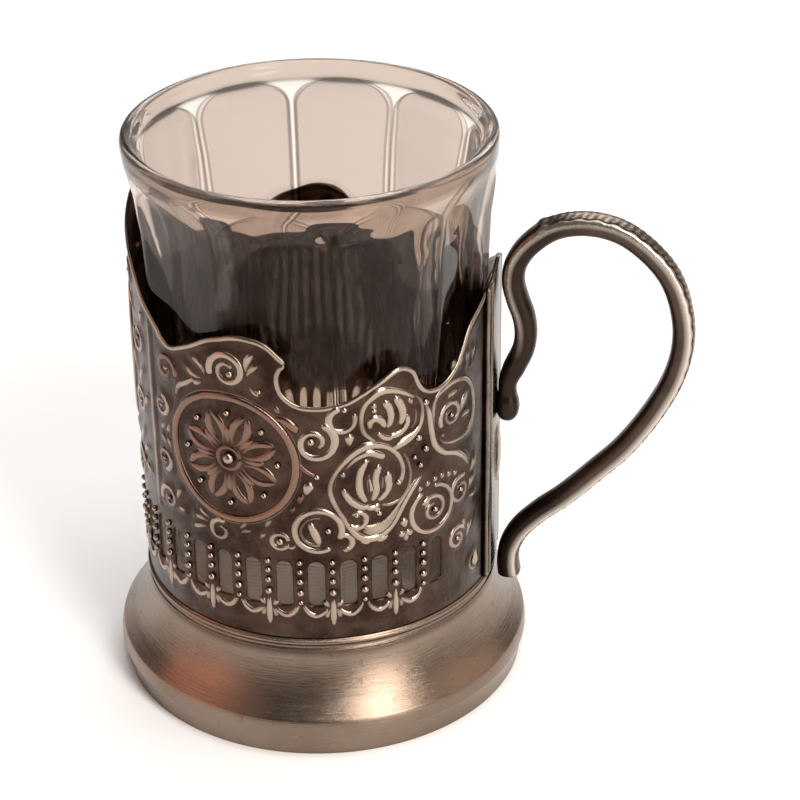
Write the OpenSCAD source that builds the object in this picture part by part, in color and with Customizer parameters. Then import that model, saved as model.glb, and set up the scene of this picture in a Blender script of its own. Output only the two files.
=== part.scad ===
// Tea glass holder with a scalloped, pierced and scrolled sleeve, a spun bell foot,
// a cast loop handle and the panelled tea glass that lifts out of it.
// Millimetres. The origin is the centre of the ring that the foot stands on,
// +Z is up along the axis of the glass and +X points at the handle.

/* [Foot] */
// Outer radius of the ring that the foot stands on
foot_base_r = 39.2; // [38.6:0.1:39.8]
// Outer radius of the foot at its widest
foot_wide_r = 40.25; // [39.9:0.05:42]
// Height of the foot's widest ring
foot_wide_z = 5; // [4:0.1:6]
// Radius where the foot's rounded rim turns into the hollow flare
foot_turn_r = 37.7; // [36.8:0.1:38.4]
// Height of that turn
foot_turn_z = 11.2; // [10:0.1:12.5]
// Height of the shoulder that carries the sleeve
shoulder_z = 22.1; // [21:0.1:24]
// Width of the shoulder outside the sleeve
shoulder_lip = 0.15; // [0.1:0.05:0.4]
// Thickness of the foot's spun sheet
foot_wall = 0.9; // [0.7:0.05:1.2]
// Width of the flat ring that touches the table
foot_ring_w = 1.6; // [1.2:0.1:2.5]
// Height of that turned-in ring
foot_ring_h = 1.1; // [0.8:0.1:1.6]
// Width of the ledge that carries the floor disc
ledge_w = 5.15; // [3:0.05:9]
// Thickness of the ledge
ledge_t = 0.9; // [0.7:0.1:1.2]
// Radius of the half-round bead round the neck
neck_bead_r = 0.4; // [0.25:0.05:0.5]
// Depth of the neck bead below the shoulder
neck_bead_drop = 0.6; // [0.5:0.05:0.9]
// Radius of the fine line below the bead
neck_line_r = 0.22; // [0.15:0.01:0.3]
// Depth of the fine line below the shoulder
neck_line_drop = 2.3; // [1.9:0.1:3]

/* [Floor disc] */
// Thickness of the floor disc under the glass
floor_t = 1; // [0.8:0.1:1.5]
// Gap between the floor disc and the sleeve
floor_gap = 0.1; // [0.05:0.05:0.3]

/* [Sleeve] */
// Outer radius of the sleeve's sheet
sleeve_r = 33.8; // [33.6:0.05:34.4]
// Thickness of the sleeve's sheet
sheet = 0.6; // [0.5:0.05:0.8]
// Height of the tall peak opposite the handle
peak_z = 95.8; // [92:0.1:97]
// Width of the bead along the scalloped edge
edge_bead_w = 1; // [0.8:0.05:1.3]
// Height of the raised ornament above the sheet
relief_h = 0.55; // [0.4:0.05:0.8]
// Width of a scroll's rib
rib_w = 0.9; // [0.7:0.05:1.2]

/* [Arcade] */
// Width of one window of the pierced arcade
window_w = 3.1; // [2.6:0.1:3.4]
// Height of the window's sill
window_z0 = 29.6; // [28.5:0.1:31]
// Height of the top of the window's arch
window_z1 = 39.2; // [38:0.1:40.5]
// Radius of the pearls between the windows
pearl_r = 0.7; // [0.5:0.05:0.85]
// Distance between the pearls of a column
pearl_pitch = 2.1; // [1.9:0.05:2.4]
// Height of the lowest pearl
pearl_z0 = 32.7; // [32:0.1:34]
// Number of pearls in a column
pearls = 4; // [3:1:4]

/* [Medallion] */
// Outer radius of the medallion's ring
medal_r = 13.3; // [12.5:0.1:13.6]
// Width of the medallion's ring
medal_w = 1.6; // [1.2:0.1:2.2]
// Height of the medallion's centre
medal_z = 59.3; // [58:0.1:60.5]

/* [Seam strip] */
// Thickness of the strip that covers the sleeve's seam
strip_t = 0.6; // [0.5:0.05:0.9]
// Width of the strip
strip_w = 16; // [13:0.5:18]
// Height of the strip's pointed top
strip_z1 = 86.5; // [84:0.5:88]
// Height of the strip's shoulders beside the point
strip_side_z = 83.5; // [81:0.5:84]
// Width of the raised line along each side of the strip
strip_line_w = 0.9; // [0.7:0.1:1.5]
// Height of that raised line
strip_line_h = 0.3; // [0.2:0.05:0.5]
// Length of the oval boss between the handle's two seats
boss_l = 12; // [9:0.5:13]
// Height of the oval boss above the strip
boss_h = 0.8; // [0.5:0.05:1.1]
// Width of the oval boss
boss_w = 4.4; // [3.5:0.1:5]
// Height of the oval boss's centre
boss_z = 45.5; // [44:0.5:47]

/* [Handle] */
// Outermost radius of the handle
handle_r = 70.5; // [66:0.5:75]
// Height of the top of the handle's arch
handle_top_z = 96.3; // [93:0.1:98]
// Height of the handle's lower end
handle_foot_z = 19.4; // [18.5:0.1:21]
// Depth of the handle's section, seen from the side
handle_t = 4.2; // [3.8:0.1:4.6]
// Width of the handle's section, seen from the front
handle_w = 4.8; // [4.2:0.1:5.5]
// Film of solder between two joined pieces
solder = 0.05; // [0.03:0.01:0.1]

/* [Tea glass] */
// How far the glass flares from its waist in the sleeve to its rim
rim_flare = 1.1; // [0.7:0.1:1.7]
// Height of the glass
glass_h = 86.1; // [84:0.1:90]
// How far the glass narrows from its waist to its base
glass_taper = 3.4; // [2.4:0.1:4.9]
// Thickness of the glass at the rim
glass_wall = 2.2; // [1.6:0.1:2.4]
// Thickness of the glass's base
glass_base_t = 8; // [5:0.5:10]
// Running gap between the glass and the sleeve
glass_gap = 0.3; // [0.3:0.05:0.5]
// Number of flat panels round the glass
panels = 10; // [8:1:12]
// Depth of a panel at its middle
panel_d = 1.3; // [0.8:0.1:1.4]
// Height of the plain band under the rim
plain_band = 6.6; // [5:0.1:9]
// Length over which a panel fades into its arched top
panel_fade = 16; // [12:0.5:22]

/* [Hidden] */

// Overrun of every cut
over = 1.5;
sleeve_in_r = sleeve_r - sheet;
spigot_r = sleeve_in_r - solder;
neck_r = sleeve_r + shoulder_lip;
ledge_r = spigot_r - ledge_w;
ledge_z = shoulder_z + ledge_t + solder;
floor_z = ledge_z + floor_t;
rim_z = floor_z + glass_h;
waist_r = sleeve_in_r - glass_gap;
rim_r = waist_r + rim_flare;
glass_base_r = waist_r - glass_taper;
relief_r = sleeve_r + relief_h;
strip_in_r = sleeve_r + solder;
strip_r = strip_in_r + strip_t;
// A drawing for the wall starts inside the sheet and ends outside the relief
wall_in = sleeve_in_r - over;
wall_deep = sheet + relief_h + 2 * over;
$fn = 96;

// A quadratic curve from a to c, pulled towards b
function bow(a, b, c, n) = [for (i = [0:n]) let (t = i / n)
    (1 - t) * (1 - t) * a + 2 * t * (1 - t) * b + t * t * c];

// A smooth curve through the knots p, with n points in each stretch
function through(p, n) = [for (i = [0:len(p) - 2], k = [0:n - 1]) let (
    t = k / n, a = p[max(i - 1, 0)], b = p[i], c = p[i + 1], d = p[min(i + 2, len(p) - 1)])
    0.5 * (2 * b + (c - a) * t + (2 * a - 5 * b + 4 * c - d) * t * t
    + (3 * b - a - 3 * c + d) * t * t * t), p[len(p) - 1]];

// Mirror image on the far side of the handle's plane as well
module both_sides() {
    children();
    mirror([0, 1, 0]) children();
}

// Stands a drawing on the wall: its x runs round the wall, its y up, and it is pushed outwards
module on_wall(az, z) {
    rotate([0, 0, az]) translate([wall_in, 0, z]) rotate([90, 0, 90])
        linear_extrude(wall_deep) children();
}

// FOOT: a spun bell with a rolled rim, a hollow flare, a neck with two fine beads,
// a shoulder for the sleeve and a ledge inside it for the floor disc
// Each curve is pulled towards a point, given as shares of the way across and up
band_pull_share = [0.15, 0.52];
rim_pull_share = 0.58;
neck_pull_share = [0.21, 0.4];
foot_band_pull = [foot_base_r + band_pull_share[0] * (foot_wide_r - foot_base_r),
    band_pull_share[1] * foot_wide_z];
foot_slope_share = 0.68;
foot_rim_pull = [foot_turn_r + rim_pull_share * foot_slope_share * (foot_turn_z - foot_wide_z),
    foot_turn_z - rim_pull_share * (foot_turn_z - foot_wide_z)];
foot_neck_pull = [neck_r + neck_pull_share[0] * (foot_turn_r - neck_r),
    foot_turn_z + neck_pull_share[1] * (shoulder_z - foot_turn_z)];
foot_band = bow([foot_base_r, 0], foot_band_pull, [foot_wide_r, foot_wide_z], 5);
foot_rim = bow([foot_wide_r, foot_wide_z], foot_rim_pull, [foot_turn_r, foot_turn_z], 7);
foot_flare = bow([foot_turn_r, foot_turn_z], foot_neck_pull, [neck_r, shoulder_z], 9);
foot_skin = [for (p = foot_band) p, for (i = [1:7]) foot_rim[i], for (i = [1:9]) foot_flare[i]];

module foot_section() {
    inside = [for (i = [len(foot_skin) - 2:-1:2]) foot_skin[i] - [foot_wall, 0]];
    polygon(concat(foot_skin, [
        [spigot_r, shoulder_z],
        [spigot_r, ledge_z],
        [ledge_r, ledge_z],
        [ledge_r, ledge_z - ledge_t],
        [neck_r - foot_wall, ledge_z - ledge_t]],
        inside, [
        [foot_base_r - foot_ring_w, foot_ring_h],
        [foot_base_r - foot_ring_w, 0]]));
    translate([neck_r - neck_bead_r / 3, shoulder_z - neck_bead_drop]) circle(neck_bead_r);
    translate([neck_r, shoulder_z - neck_line_drop]) circle(neck_line_r + solder);
}

module foot() color([0.62, 0.57, 0.52]) rotate_extrude() foot_section();

// FLOOR DISC: the plate that the glass stands on
module floor_disc() color([0.55, 0.5, 0.46])
    translate([0, 0, ledge_z]) cylinder(h = floor_t, r = sleeve_in_r - floor_gap);

// SLEEVE: sheet rolled to a tube, its top edge scalloped, its foot pierced by an arcade,
// its face raised into medallions, scrolls, pearls and swags
// The edge from the handle's seam round to the peak opposite it:
// degrees from the handle, and height as a share of the peak's height
edge_shares = [[0, 0.893], [9, 0.88], [17, 0.851], [23.5, 0.83], [27.7, 0.788], [31.5, 0.755],
    [35, 0.739], [39, 0.734], [43, 0.739], [45.8, 0.756], [47.4, 0.782], [49.6, 0.799], [53.2, 0.802],
    [58.6, 0.785], [66, 0.76], [74, 0.7445], [80, 0.743], [84, 0.7475], [87, 0.7575], [88.6, 0.776],
    [88.9, 0.806], [89.6, 0.843], [92.4, 0.863], [96.5, 0.8745], [102, 0.876], [108, 0.868],
    [115, 0.85], [122, 0.827], [128.5, 0.8125], [133, 0.8265], [139, 0.8535], [147, 0.892],
    [156, 0.9365], [168, 0.975], [180, 1]];
edge_half = [for (p = through(edge_shares, 2)) [p[0], p[1] * peak_z]];
edge_all = concat([for (i = [len(edge_half) - 1:-1:1]) [-edge_half[i][0], edge_half[i][1]]],
    edge_half, [for (i = [len(edge_half) - 2:-1:0]) [360 - edge_half[i][0], edge_half[i][1]]]);
// The sheet is cut to that edge span by span, each drawn flat and pushed through the wall
cut_step = 30;
cut_spans = [for (a = [0:cut_step:360 - cut_step]) [a - cut_step / 2, a + cut_step / 2]];
span_lap = 0.25;
// The bead runs in spans too, a little past the edge that then trims it.
// It stops at the seam strip and where the loose curl turns back
bead_spans = [[16, 45], [45, 75], [75, 85.2], [90.4, 105], [105, 135], [135, 165]];
bead_front_spans = [[165, 195]];
// The loose curl beside the medallion: an oval bite under the end of the hump
curl_az = 84.2;
curl_z = 0.7925 * peak_z;
curl_w = 0.106 * sleeve_r;
curl_h = 0.0435 * peak_z;

// Height of the edge at an angle, and the edge's points between two angles
function edge_at(a) = lookup(a, edge_all);
function edge_between(a, b) = concat([[a, edge_at(a)]],
    [for (p = edge_all) if (p[0] > a + span_lap && p[0] < b - span_lap) p], [[b, edge_at(b)]]);

// A span's points in the flat, about its middle: across, and up
function flat_span(a, b) = let (c = (a + b) / 2, lap = span_lap)
    [for (p = edge_between(a - lap, b + lap)) [sleeve_r * sin(c - p[0]), p[1]]];

// The same points moved into the sheet by the width of the bead
function inset(f, w) = [for (i = [0:len(f) - 1]) let (
    run = f[min(i + 1, len(f) - 1)] - f[max(i - 1, 0)], u = run / norm(run))
    f[i] + w * [-u[1], u[0]]];

module above_edge() {
    for (s = cut_spans) let (f = flat_span(s[0], s[1]), last = f[len(f) - 1])
        on_wall(-(s[0] + s[1]) / 2, 0)
            polygon(concat(f, [[last[0], rim_z + over], [f[0][0], rim_z + over]]));
}

module edge_bead(spans) {
    for (s = spans) let (f = flat_span(s[0], s[1]),
        outer = inset(f, -edge_bead_w / 2), inner = inset(f, edge_bead_w))
        on_wall(-(s[0] + s[1]) / 2, 0)
            polygon(concat(outer, [for (i = [len(inner) - 1:-1:0]) inner[i]]));
}

// The curl's own bead, from under the hump round to the valley
module curl_bead() {
    turns = [for (a = [64:24:256]) a];
    on_wall(-curl_az, curl_z) polygon(concat(
        [for (a = turns) [-curl_w * cos(a + 180), curl_h * sin(a)]],
        [for (i = [len(turns) - 1:-1:0]) let (a = turns[i])
            [-(curl_w + edge_bead_w) * cos(a + 180), (curl_h + edge_bead_w) * sin(a)]]));
}

// A spiral rib that narrows inwards
module volute(r, turn, flip = 1, turns = 1.3) {
    n = 13;
    shrink = 0.75;
    rim = [for (i = [0:n]) let (t = i / n, a = 360 * turns * t, w = rib_w * (1 - 0.35 * t) / 2)
        [r * (1 - shrink * t), w, a]];
    mirror([flip < 0 ? 1 : 0, 0]) rotate(turn) polygon(concat(
        [for (p = rim) (p[0] + p[1]) * [cos(p[2]), sin(p[2])]],
        [for (i = [n:-1:0]) let (p = rim[i]) (p[0] - p[1]) * [cos(p[2]), sin(p[2])]]));
}

module ring(r, w) {
    difference() {
        circle(r);
        circle(r - w);
    }
}

// An oval frame, drawn point by point round an ellipse
module oval(w, h, line) {
    points = [for (i = [0:17]) [cos(i * 20), sin(i * 20)]];
    difference() {
        polygon([for (p = points) [p[0] * w, p[1] * h]]);
        polygon([for (p = points) [p[0] * (w - line), p[1] * (h - line)]]);
    }
}

// A leaf with a round end and a pointed tip, pointing up
module leaf(l, w) {
    polygon([[0, -0.4 * w], [0.5 * w, 0.1 * w], [0.35 * w, 0.45 * l], [0, l - 0.4 * w],
        [-0.35 * w, 0.45 * l], [-0.5 * w, 0.1 * w]]);
}

// Leaves fanned round a point, or set all round it
module palmette(r, count, spread) {
    for (i = [0:count - 1])
        rotate((i / (count - 1) - 0.5) * spread) translate([0, 0.42 * r]) leaf(0.7 * r, 0.24 * r);
}

// Places on one side are in degrees from the handle, and in shares of the medallion's radius
// above its centre. Scrolls: place, height, radius, turn, hand
medal_az = 106.3;
scroll_shares = [
    [106, 1.35, 0.3, 200, 1],
    [129.3, 0.9, 0.29, 60, -1],
    [130, -1.04, 0.28, 120, 1],
    [78.2, 0.4, 0.24, 20, 1],
    [78.4, -1.02, 0.32, 160, -1],
    [41.2, -1.02, 0.37, 190, 1],
    [156, -1.02, 0.29, 30, 1]];
// Small closed curls: place, height, radius
curl_shares = [
    [110.6, -1.22, 0.19],
    [70.4, 0.6, 0.19],
    [91.4, -1.18, 0.13],
    [30.8, -1.7, 0.23],
    [150.5, 0.1, 0.2]];
// Leaves: place, height, length, width, turn
leaf_shares = [
    [96.3, 1.45, 0.3, 0.14, -40],
    [117.5, 1.32, 0.34, 0.15, 60],
    [87.6, 0.72, 0.28, 0.12, 30],
    [81.6, -0.2, 0.34, 0.14, 170],
    [68.5, 0.18, 0.28, 0.14, 0],
    [47, 0.12, 0.24, 0.13, 190],
    [51.6, -1.1, 0.34, 0.2, 180],
    [134.5, 0.35, 0.42, 0.18, 190],
    [134.5, -0.35, 0.42, 0.18, 170],
    [100.6, -1.3, 0.3, 0.13, -80],
    [20.5, -2.1, 0.4, 0.18, 0],
    [163, 1.45, 0.6, 0.22, 20]];
disc_shares = [[55.8, 0.66, 0.43], [62.4, -0.28, 0.53]];
shield_share = [31.8, 0.22, 0.4, 0.6];
oval_share = [180, 0.5, 0.85, 1.3];
panel_az = 140;
function at_z(share) = medal_z + share * medal_r;

// The drawings of one side, laid on the wall
module ornament_side() {
    on_wall(-medal_az, medal_z) {
        ring(medal_r, medal_w);
        for (i = [0:7]) rotate(i * 45) translate([0, 0.25 * medal_r])
            leaf(0.5 * medal_r, 0.17 * medal_r);
    }
    for (s = scroll_shares) on_wall(-s[0], at_z(s[1])) volute(s[2] * medal_r, s[3], s[4]);
    for (c = curl_shares) on_wall(-c[0], at_z(c[1])) ring(c[2] * medal_r, rib_w);
    for (l = leaf_shares) on_wall(-l[0], at_z(l[1])) rotate(l[4]) leaf(l[2] * medal_r, l[3] * medal_r);
    for (d = disc_shares) on_wall(-d[0], at_z(d[1])) {
        ring(d[2] * medal_r, rib_w);
        translate([0, -0.55 * d[2] * medal_r]) palmette(d[2] * medal_r, 3, 90);
    }
    on_wall(-shield_share[0], at_z(shield_share[1]))
        oval(shield_share[2] * medal_r, shield_share[3] * medal_r, rib_w);
    on_wall(-panel_az, window_z1 + rib_w)
        square([rib_w, edge_at(panel_az) - edge_bead_w - window_z1 - 2 * rib_w]);
}

// The windows stand at these many degrees from the handle, with pearls between them
window_step = 10;
window_first = 40;
windows = [for (a = [window_first:window_step:360 - window_first]) a];
columns = [for (a = [window_first + window_step / 2:window_step:360 - window_first]) a];

module window_shape() {
    r = window_w / 2;
    polygon(concat([for (a = [0:30:180]) [r * cos(a), window_z1 - window_z0 - r + r * sin(a)]],
        [[-r, r / 3], [-0.7 * r, 0], [0.7 * r, 0], [r, r / 3]]));
}

// A column of pearls in one outline: wide at each pearl, narrow between two
module pearl_column() {
    side = [for (k = [0:pearls - 1]) each [
        [pearl_r / 2, k * pearl_pitch - pearl_r],
        [pearl_r, k * pearl_pitch]]];
    tip = [0, (pearls - 1) * pearl_pitch + pearl_r];
    polygon(concat(side, [tip], [for (i = [len(side) - 1:-1:0]) [-side[i][0], side[i][1]]]));
}

// A swag hangs under each window, and a drop under every second column of pearls
module arcade_relief() {
    swag = [for (a = [200:35:340]) a];
    swag_r = 0.8 * window_w;
    swag_w = 0.25 * window_w;
    for (a = windows) on_wall(a, window_z0 + window_w / 4) polygon(concat(
        [for (t = swag) (swag_r + swag_w / 2) * [cos(t), sin(t)]],
        [for (i = [len(swag) - 1:-1:0]) (swag_r - swag_w / 2) * [cos(swag[i]), sin(swag[i])]]));
    for (i = [0:2:len(columns) - 1]) on_wall(columns[i], window_z0 + window_w / 8)
        rotate(180) leaf(1.5 * window_w, 0.4 * window_w);
    for (a = columns) on_wall(a, pearl_z0) pearl_column();
}

module raised() {
    both_sides() {
        edge_bead(bead_spans);
        curl_bead();
        ornament_side();
    }
    edge_bead(bead_front_spans);
    on_wall(180, at_z(oval_share[1]))
        oval(oval_share[2] * medal_r, oval_share[3] * medal_r, 1.4 * rib_w);
    arcade_relief();
}

// The tube and what is raised on it are trimmed together by the edge, then pierced
module sleeve() color([0.5, 0.44, 0.4]) {
    sleeve_z0 = shoulder_z + solder;
    sleeve_h = rim_z - sleeve_z0;
    difference() {
        union() {
            translate([0, 0, sleeve_z0]) difference() {
                cylinder(h = sleeve_h, r = sleeve_r);
                translate([0, 0, -over]) cylinder(h = sleeve_h + 2 * over, r = sleeve_in_r);
            }
            intersection() {
                translate([0, 0, sleeve_z0 + solder]) difference() {
                    cylinder(h = sleeve_h - 2 * solder, r = relief_r);
                    translate([0, 0, -over]) cylinder(h = sleeve_h + 2 * over, r = sleeve_r - sheet / 2);
                }
                union() raised();
            }
        }
        above_edge();
        both_sides() on_wall(-curl_az, curl_z)
            polygon([for (a = [0:20:340]) [curl_w * cos(a), curl_h * sin(a)]]);
        for (a = windows) on_wall(a, window_z0) window_shape();
    }
}

// SEAM STRIP: a band over the sleeve's seam, with raised lines along its sides,
// a pointed top and an oval boss between the handle's two seats
strip_half = strip_w / 2;
strip_z0 = shoulder_z + solder;

module strip_outline() {
    polygon([[-strip_half, 0], [strip_half, 0], [strip_half, strip_side_z - strip_z0],
        [0, strip_z1 - strip_z0], [-strip_half, strip_side_z - strip_z0]]);
}

module seam_strip() color([0.42, 0.37, 0.33]) {
    intersection() {
        translate([0, 0, strip_z0]) difference() {
            cylinder(h = strip_z1, r = strip_r + strip_line_h);
            translate([0, 0, -over]) cylinder(h = strip_z1 + 2 * over, r = strip_in_r);
        }
        on_wall(0, strip_z0) strip_outline();
        union() {
            translate([0, 0, strip_z0]) cylinder(h = strip_z1, r = strip_r);
            for (s = [-1, 1]) on_wall(0, strip_z0)
                translate([s * (strip_half - strip_line_w / 2) - strip_line_w / 2, 0])
                    square([strip_line_w, strip_side_z - strip_z0]);
        }
    }
    intersection() {
        translate([strip_r - strip_t / 2, -boss_w, boss_z - boss_l])
            cube([strip_t + boss_h, 2 * boss_w, 2 * boss_l]);
        translate([strip_r + boss_h - boss_w / 2, 0, boss_z]) rotate_extrude()
            polygon([for (i = [-8:8]) [boss_w / 2 * (1 - i * i / 64), i / 8 * boss_l / 2]]);
    }
}

// HANDLE: one cast bar. It springs from the strip, swells outwards, hugs the sleeve,
// arches over and comes back down to its lower seat on the strip, just above the foot.
// The centreline's knots as shares: outwards from where it lies on the strip to its furthest
// reach, and upwards from its lower end to the top of its arch
handle_shares = [[0.002, 0.447], [0.002, 0.485], [0.002, 0.523], [0.006, 0.567], [0.038, 0.612],
    [0.082, 0.658], [0.094, 0.7], [0.079, 0.746], [0.041, 0.791], [0.016, 0.837], [0.031, 0.888],
    [0.107, 0.94],
    [0.252, 0.985], [0.431, 1], [0.61, 0.985], [0.764, 0.941], [0.893, 0.88], [0.969, 0.805], [1, 0.711],
    [0.962, 0.61], [0.849, 0.501], [0.689, 0.396], [0.525, 0.318], [0.346, 0.239], [0.201, 0.186],
    [0.088, 0.134], [0.022, 0.083], [0.002, 0.041], [0, 0]];
handle_seat = strip_r + handle_t / 2 + solder;
handle_far = handle_r - handle_t / 2;
handle_high = handle_top_z - handle_t / 2;
handle_knots = [for (s = handle_shares) [handle_seat + s[0] * (handle_far - handle_seat),
    handle_foot_z + s[1] * (handle_high - handle_foot_z)]];
handle_path = through(handle_knots, 4);

// The bar's section: a round inner side and a flatter outer face with soft corners
handle_sides = 14;
function section_point(k) = let (a = 360 * (k + 0.5) / handle_sides, c = cos(a), s = sin(a))
    [handle_t / 2 * sign(c) * pow(abs(c), c > 0 ? 0.75 : 1), handle_w / 2 * sign(s) * pow(abs(s), 0.85)];
// Girth along the bar, by the distance from its upper end and from its lower one, in shares of
// its depth: a ball, a narrow neck, then the full bar, which is rounded off where it ends
ball_shares = [[0, 0.35], [0.12, 0.68], [0.3, 0.88], [0.6, 1], [0.95, 0.98], [1.3, 0.84], [1.6, 0.78],
    [2, 0.84], [2.6, 1]];
tail_shares = [[0, 0.3], [0.12, 0.65], [0.3, 0.92], [0.5, 1]];
function girth(i) = let (n = len(handle_path) - 1, p = handle_path[i])
    lookup(norm(p - handle_path[0]) / handle_t, ball_shares)
    * lookup(norm(p - handle_path[n]) / handle_t, tail_shares);

module handle() color([0.47, 0.42, 0.38]) {
    n = len(handle_path);
    pts = [for (i = [0:n - 1]) let (
        p = handle_path[i],
        run = handle_path[min(i + 1, n - 1)] - handle_path[max(i - 1, 0)],
        u = run / norm(run))
        for (k = [0:handle_sides - 1]) let (q = section_point(k) * girth(i))
            [p[0] - u[1] * q[0], q[1], p[1] + u[0] * q[0]]];
    wall = [for (i = [0:n - 2], k = [0:handle_sides - 1]) let (
        a = i * handle_sides + k, b = i * handle_sides + (k + 1) % handle_sides)
        each [[a, b, b + handle_sides], [a, b + handle_sides, a + handle_sides]]];
    top = (n - 1) * handle_sides;
    ends = [for (k = [1:handle_sides - 2]) each [[0, k + 1, k], [top, top + k, top + k + 1]]];
    polyhedron(points = pts, faces = concat(wall, ends));
}

// TEA GLASS: pressed glass with flat panels that fade into arches under a plain rim.
// Heights as shares of the glass's height: its heel, its waist where the sleeve holds it,
// and the stations at which the wall is drawn
heel_share = 0.03;
waist_share = 0.828;
station_shares = [0.03, 0.1, 0.2, 0.32, 0.45, 0.58, 0.7, 0.78, 0.828, 0.85, 0.875, 0.9, 0.93, 0.96,
    0.98];
// The wall is thicker where a panel is pressed into it, from this share downwards
thick_share = 0.98;
thicken_share = 0.2;
panel_shares = [0.02, 0.4];

// Outer radius at share s of the glass's height: a slow taper, then a flare to the rim
function skin_r(s) = s < waist_share
    ? glass_base_r + (waist_r - glass_base_r) * pow(s / waist_share, 0.8)
    : waist_r + (rim_r - waist_r) * (1 - pow(1 - (s - waist_share) / (1 - waist_share), 2.2));
function wall_at(s) = glass_wall + panel_d * min(1, max(0, (thick_share - s) / thicken_share));

module glass_section() {
    lip = glass_wall / 2;
    n = len(station_shares);
    outer = [for (s = station_shares) [skin_r(s), s * glass_h]];
    lip_arc = [for (a = [15:15:165]) [rim_r - lip + lip * cos(a), glass_h - lip + lip * sin(a)]];
    inner = [for (i = [n - 1:-1:2]) let (s = station_shares[i]) [skin_r(s) - wall_at(s), s * glass_h]];
    floor_r = inner[len(inner) - 1][0];
    polygon(concat([[0, 0], [skin_r(0) - heel_share * glass_h, 0]], outer, lip_arc, inner, [
        [floor_r - glass_wall, glass_base_t + glass_wall / 2],
        [floor_r - 2 * glass_wall, glass_base_t],
        [0, glass_base_t]]));
}

// What is ground off for one panel, drawn from the side
module panel_cut() {
    top = glass_h - plain_band;
    low = [for (s = concat(panel_shares, [(top - panel_fade) / glass_h]))
        [skin_r(s) - panel_d, s * glass_h]];
    fade = [for (i = [1:5]) let (t = i / 5, z = top - panel_fade * (1 - t))
        [skin_r(z / glass_h) - panel_d * (1 - t * t), z]];
    side = rim_r + over;
    rotate([90, 0, 0]) translate([0, 0, -side / 2]) linear_extrude(side)
        polygon(concat([[side, -over], [low[0][0], -over]], low, fade, [[side, top]]));
}

module tea_glass() color([0.85, 0.9, 0.9, 0.35]) translate([0, 0, floor_z]) {
    difference() {
        rotate_extrude() glass_section();
        for (i = [0:panels - 1]) rotate([0, 0, (i + 0.5) * 360 / panels]) panel_cut();
    }
}

foot();
floor_disc();
sleeve();
seam_strip();
handle();
tea_glass();
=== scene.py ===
# %% [markdown]
# # A tea glass in its metal holder
# The holder is old nickel-plated sheet metal: a spun bell foot, a stamped sleeve with a
# scalloped edge, a strip over the sleeve's seam and a cast loop handle. A pressed tea glass
# stands in it and lifts out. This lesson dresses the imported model, one piece after another.

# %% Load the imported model
import math

import bmesh
import bpy
import numpy as np
from mathutils import Matrix, Vector
from mathutils.kdtree import KDTree


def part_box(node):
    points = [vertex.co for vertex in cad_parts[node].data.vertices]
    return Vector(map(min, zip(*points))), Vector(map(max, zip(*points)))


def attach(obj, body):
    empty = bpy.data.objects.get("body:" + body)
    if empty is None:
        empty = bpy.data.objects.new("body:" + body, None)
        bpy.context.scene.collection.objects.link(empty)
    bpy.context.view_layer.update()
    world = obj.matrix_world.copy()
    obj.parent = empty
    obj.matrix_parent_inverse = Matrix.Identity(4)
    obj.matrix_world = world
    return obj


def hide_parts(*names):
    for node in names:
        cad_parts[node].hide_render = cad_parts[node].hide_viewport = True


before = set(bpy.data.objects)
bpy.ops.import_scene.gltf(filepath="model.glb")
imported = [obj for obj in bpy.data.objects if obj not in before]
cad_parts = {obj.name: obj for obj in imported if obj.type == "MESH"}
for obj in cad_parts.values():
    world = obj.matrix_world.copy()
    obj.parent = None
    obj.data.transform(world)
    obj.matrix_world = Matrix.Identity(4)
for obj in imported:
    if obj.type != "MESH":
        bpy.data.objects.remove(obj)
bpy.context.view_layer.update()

# %% [markdown]
# ## Sizes
# Everything is thought of in millimetres, as a metalworker would, and written to Blender in
# metres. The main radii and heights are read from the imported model, so that each new piece
# sits exactly where the construction has it.

# %% Main sizes, read from the model
MM = 0.001


def span(node):
    """The lowest and highest corner of a CAD node, in millimetres."""
    low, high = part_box(node)
    return low / MM, high / MM


RELIEF = 0.55
SHEET = 0.6
SLEEVE_R = span("sleeve")[1].y - RELIEF
SLEEVE_Z0 = span("sleeve")[0].z
PEAK_Z = span("sleeve")[1].z
INNER_R = SLEEVE_R - SHEET
FOOT_R = span("foot")[1].y
DEGREE = math.pi * SLEEVE_R / 180
print("sleeve radius", round(SLEEVE_R, 2), "mm, one degree along it is", round(DEGREE, 3), "mm")

# %% [markdown]
# ## A small language for finishes
# A finish is a node tree. Wiring nodes by hand is hard to read, so one class wraps a socket and
# lets Python's operators add the Math nodes. Another makes the material and every other node.
# Every finish below is then written as a few sums, read from top to bottom.

# %% Sockets that can be used in expressions
class Value:
    """An output socket on which Python's operators add Math nodes."""

    def __init__(self, finish, socket):
        self.finish = finish
        self.socket = socket

    def __add__(self, other):
        return self.finish.math("ADD", self, other)

    def __radd__(self, other):
        return self.finish.math("ADD", other, self)

    def __sub__(self, other):
        return self.finish.math("SUBTRACT", self, other)

    def __rsub__(self, other):
        return self.finish.math("SUBTRACT", other, self)

    def __mul__(self, other):
        return self.finish.math("MULTIPLY", self, other)

    def __rmul__(self, other):
        return self.finish.math("MULTIPLY", other, self)

    def __truediv__(self, other):
        return self.finish.math("DIVIDE", self, other)

    def __pow__(self, other):
        return self.finish.math("POWER", self, other)


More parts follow.
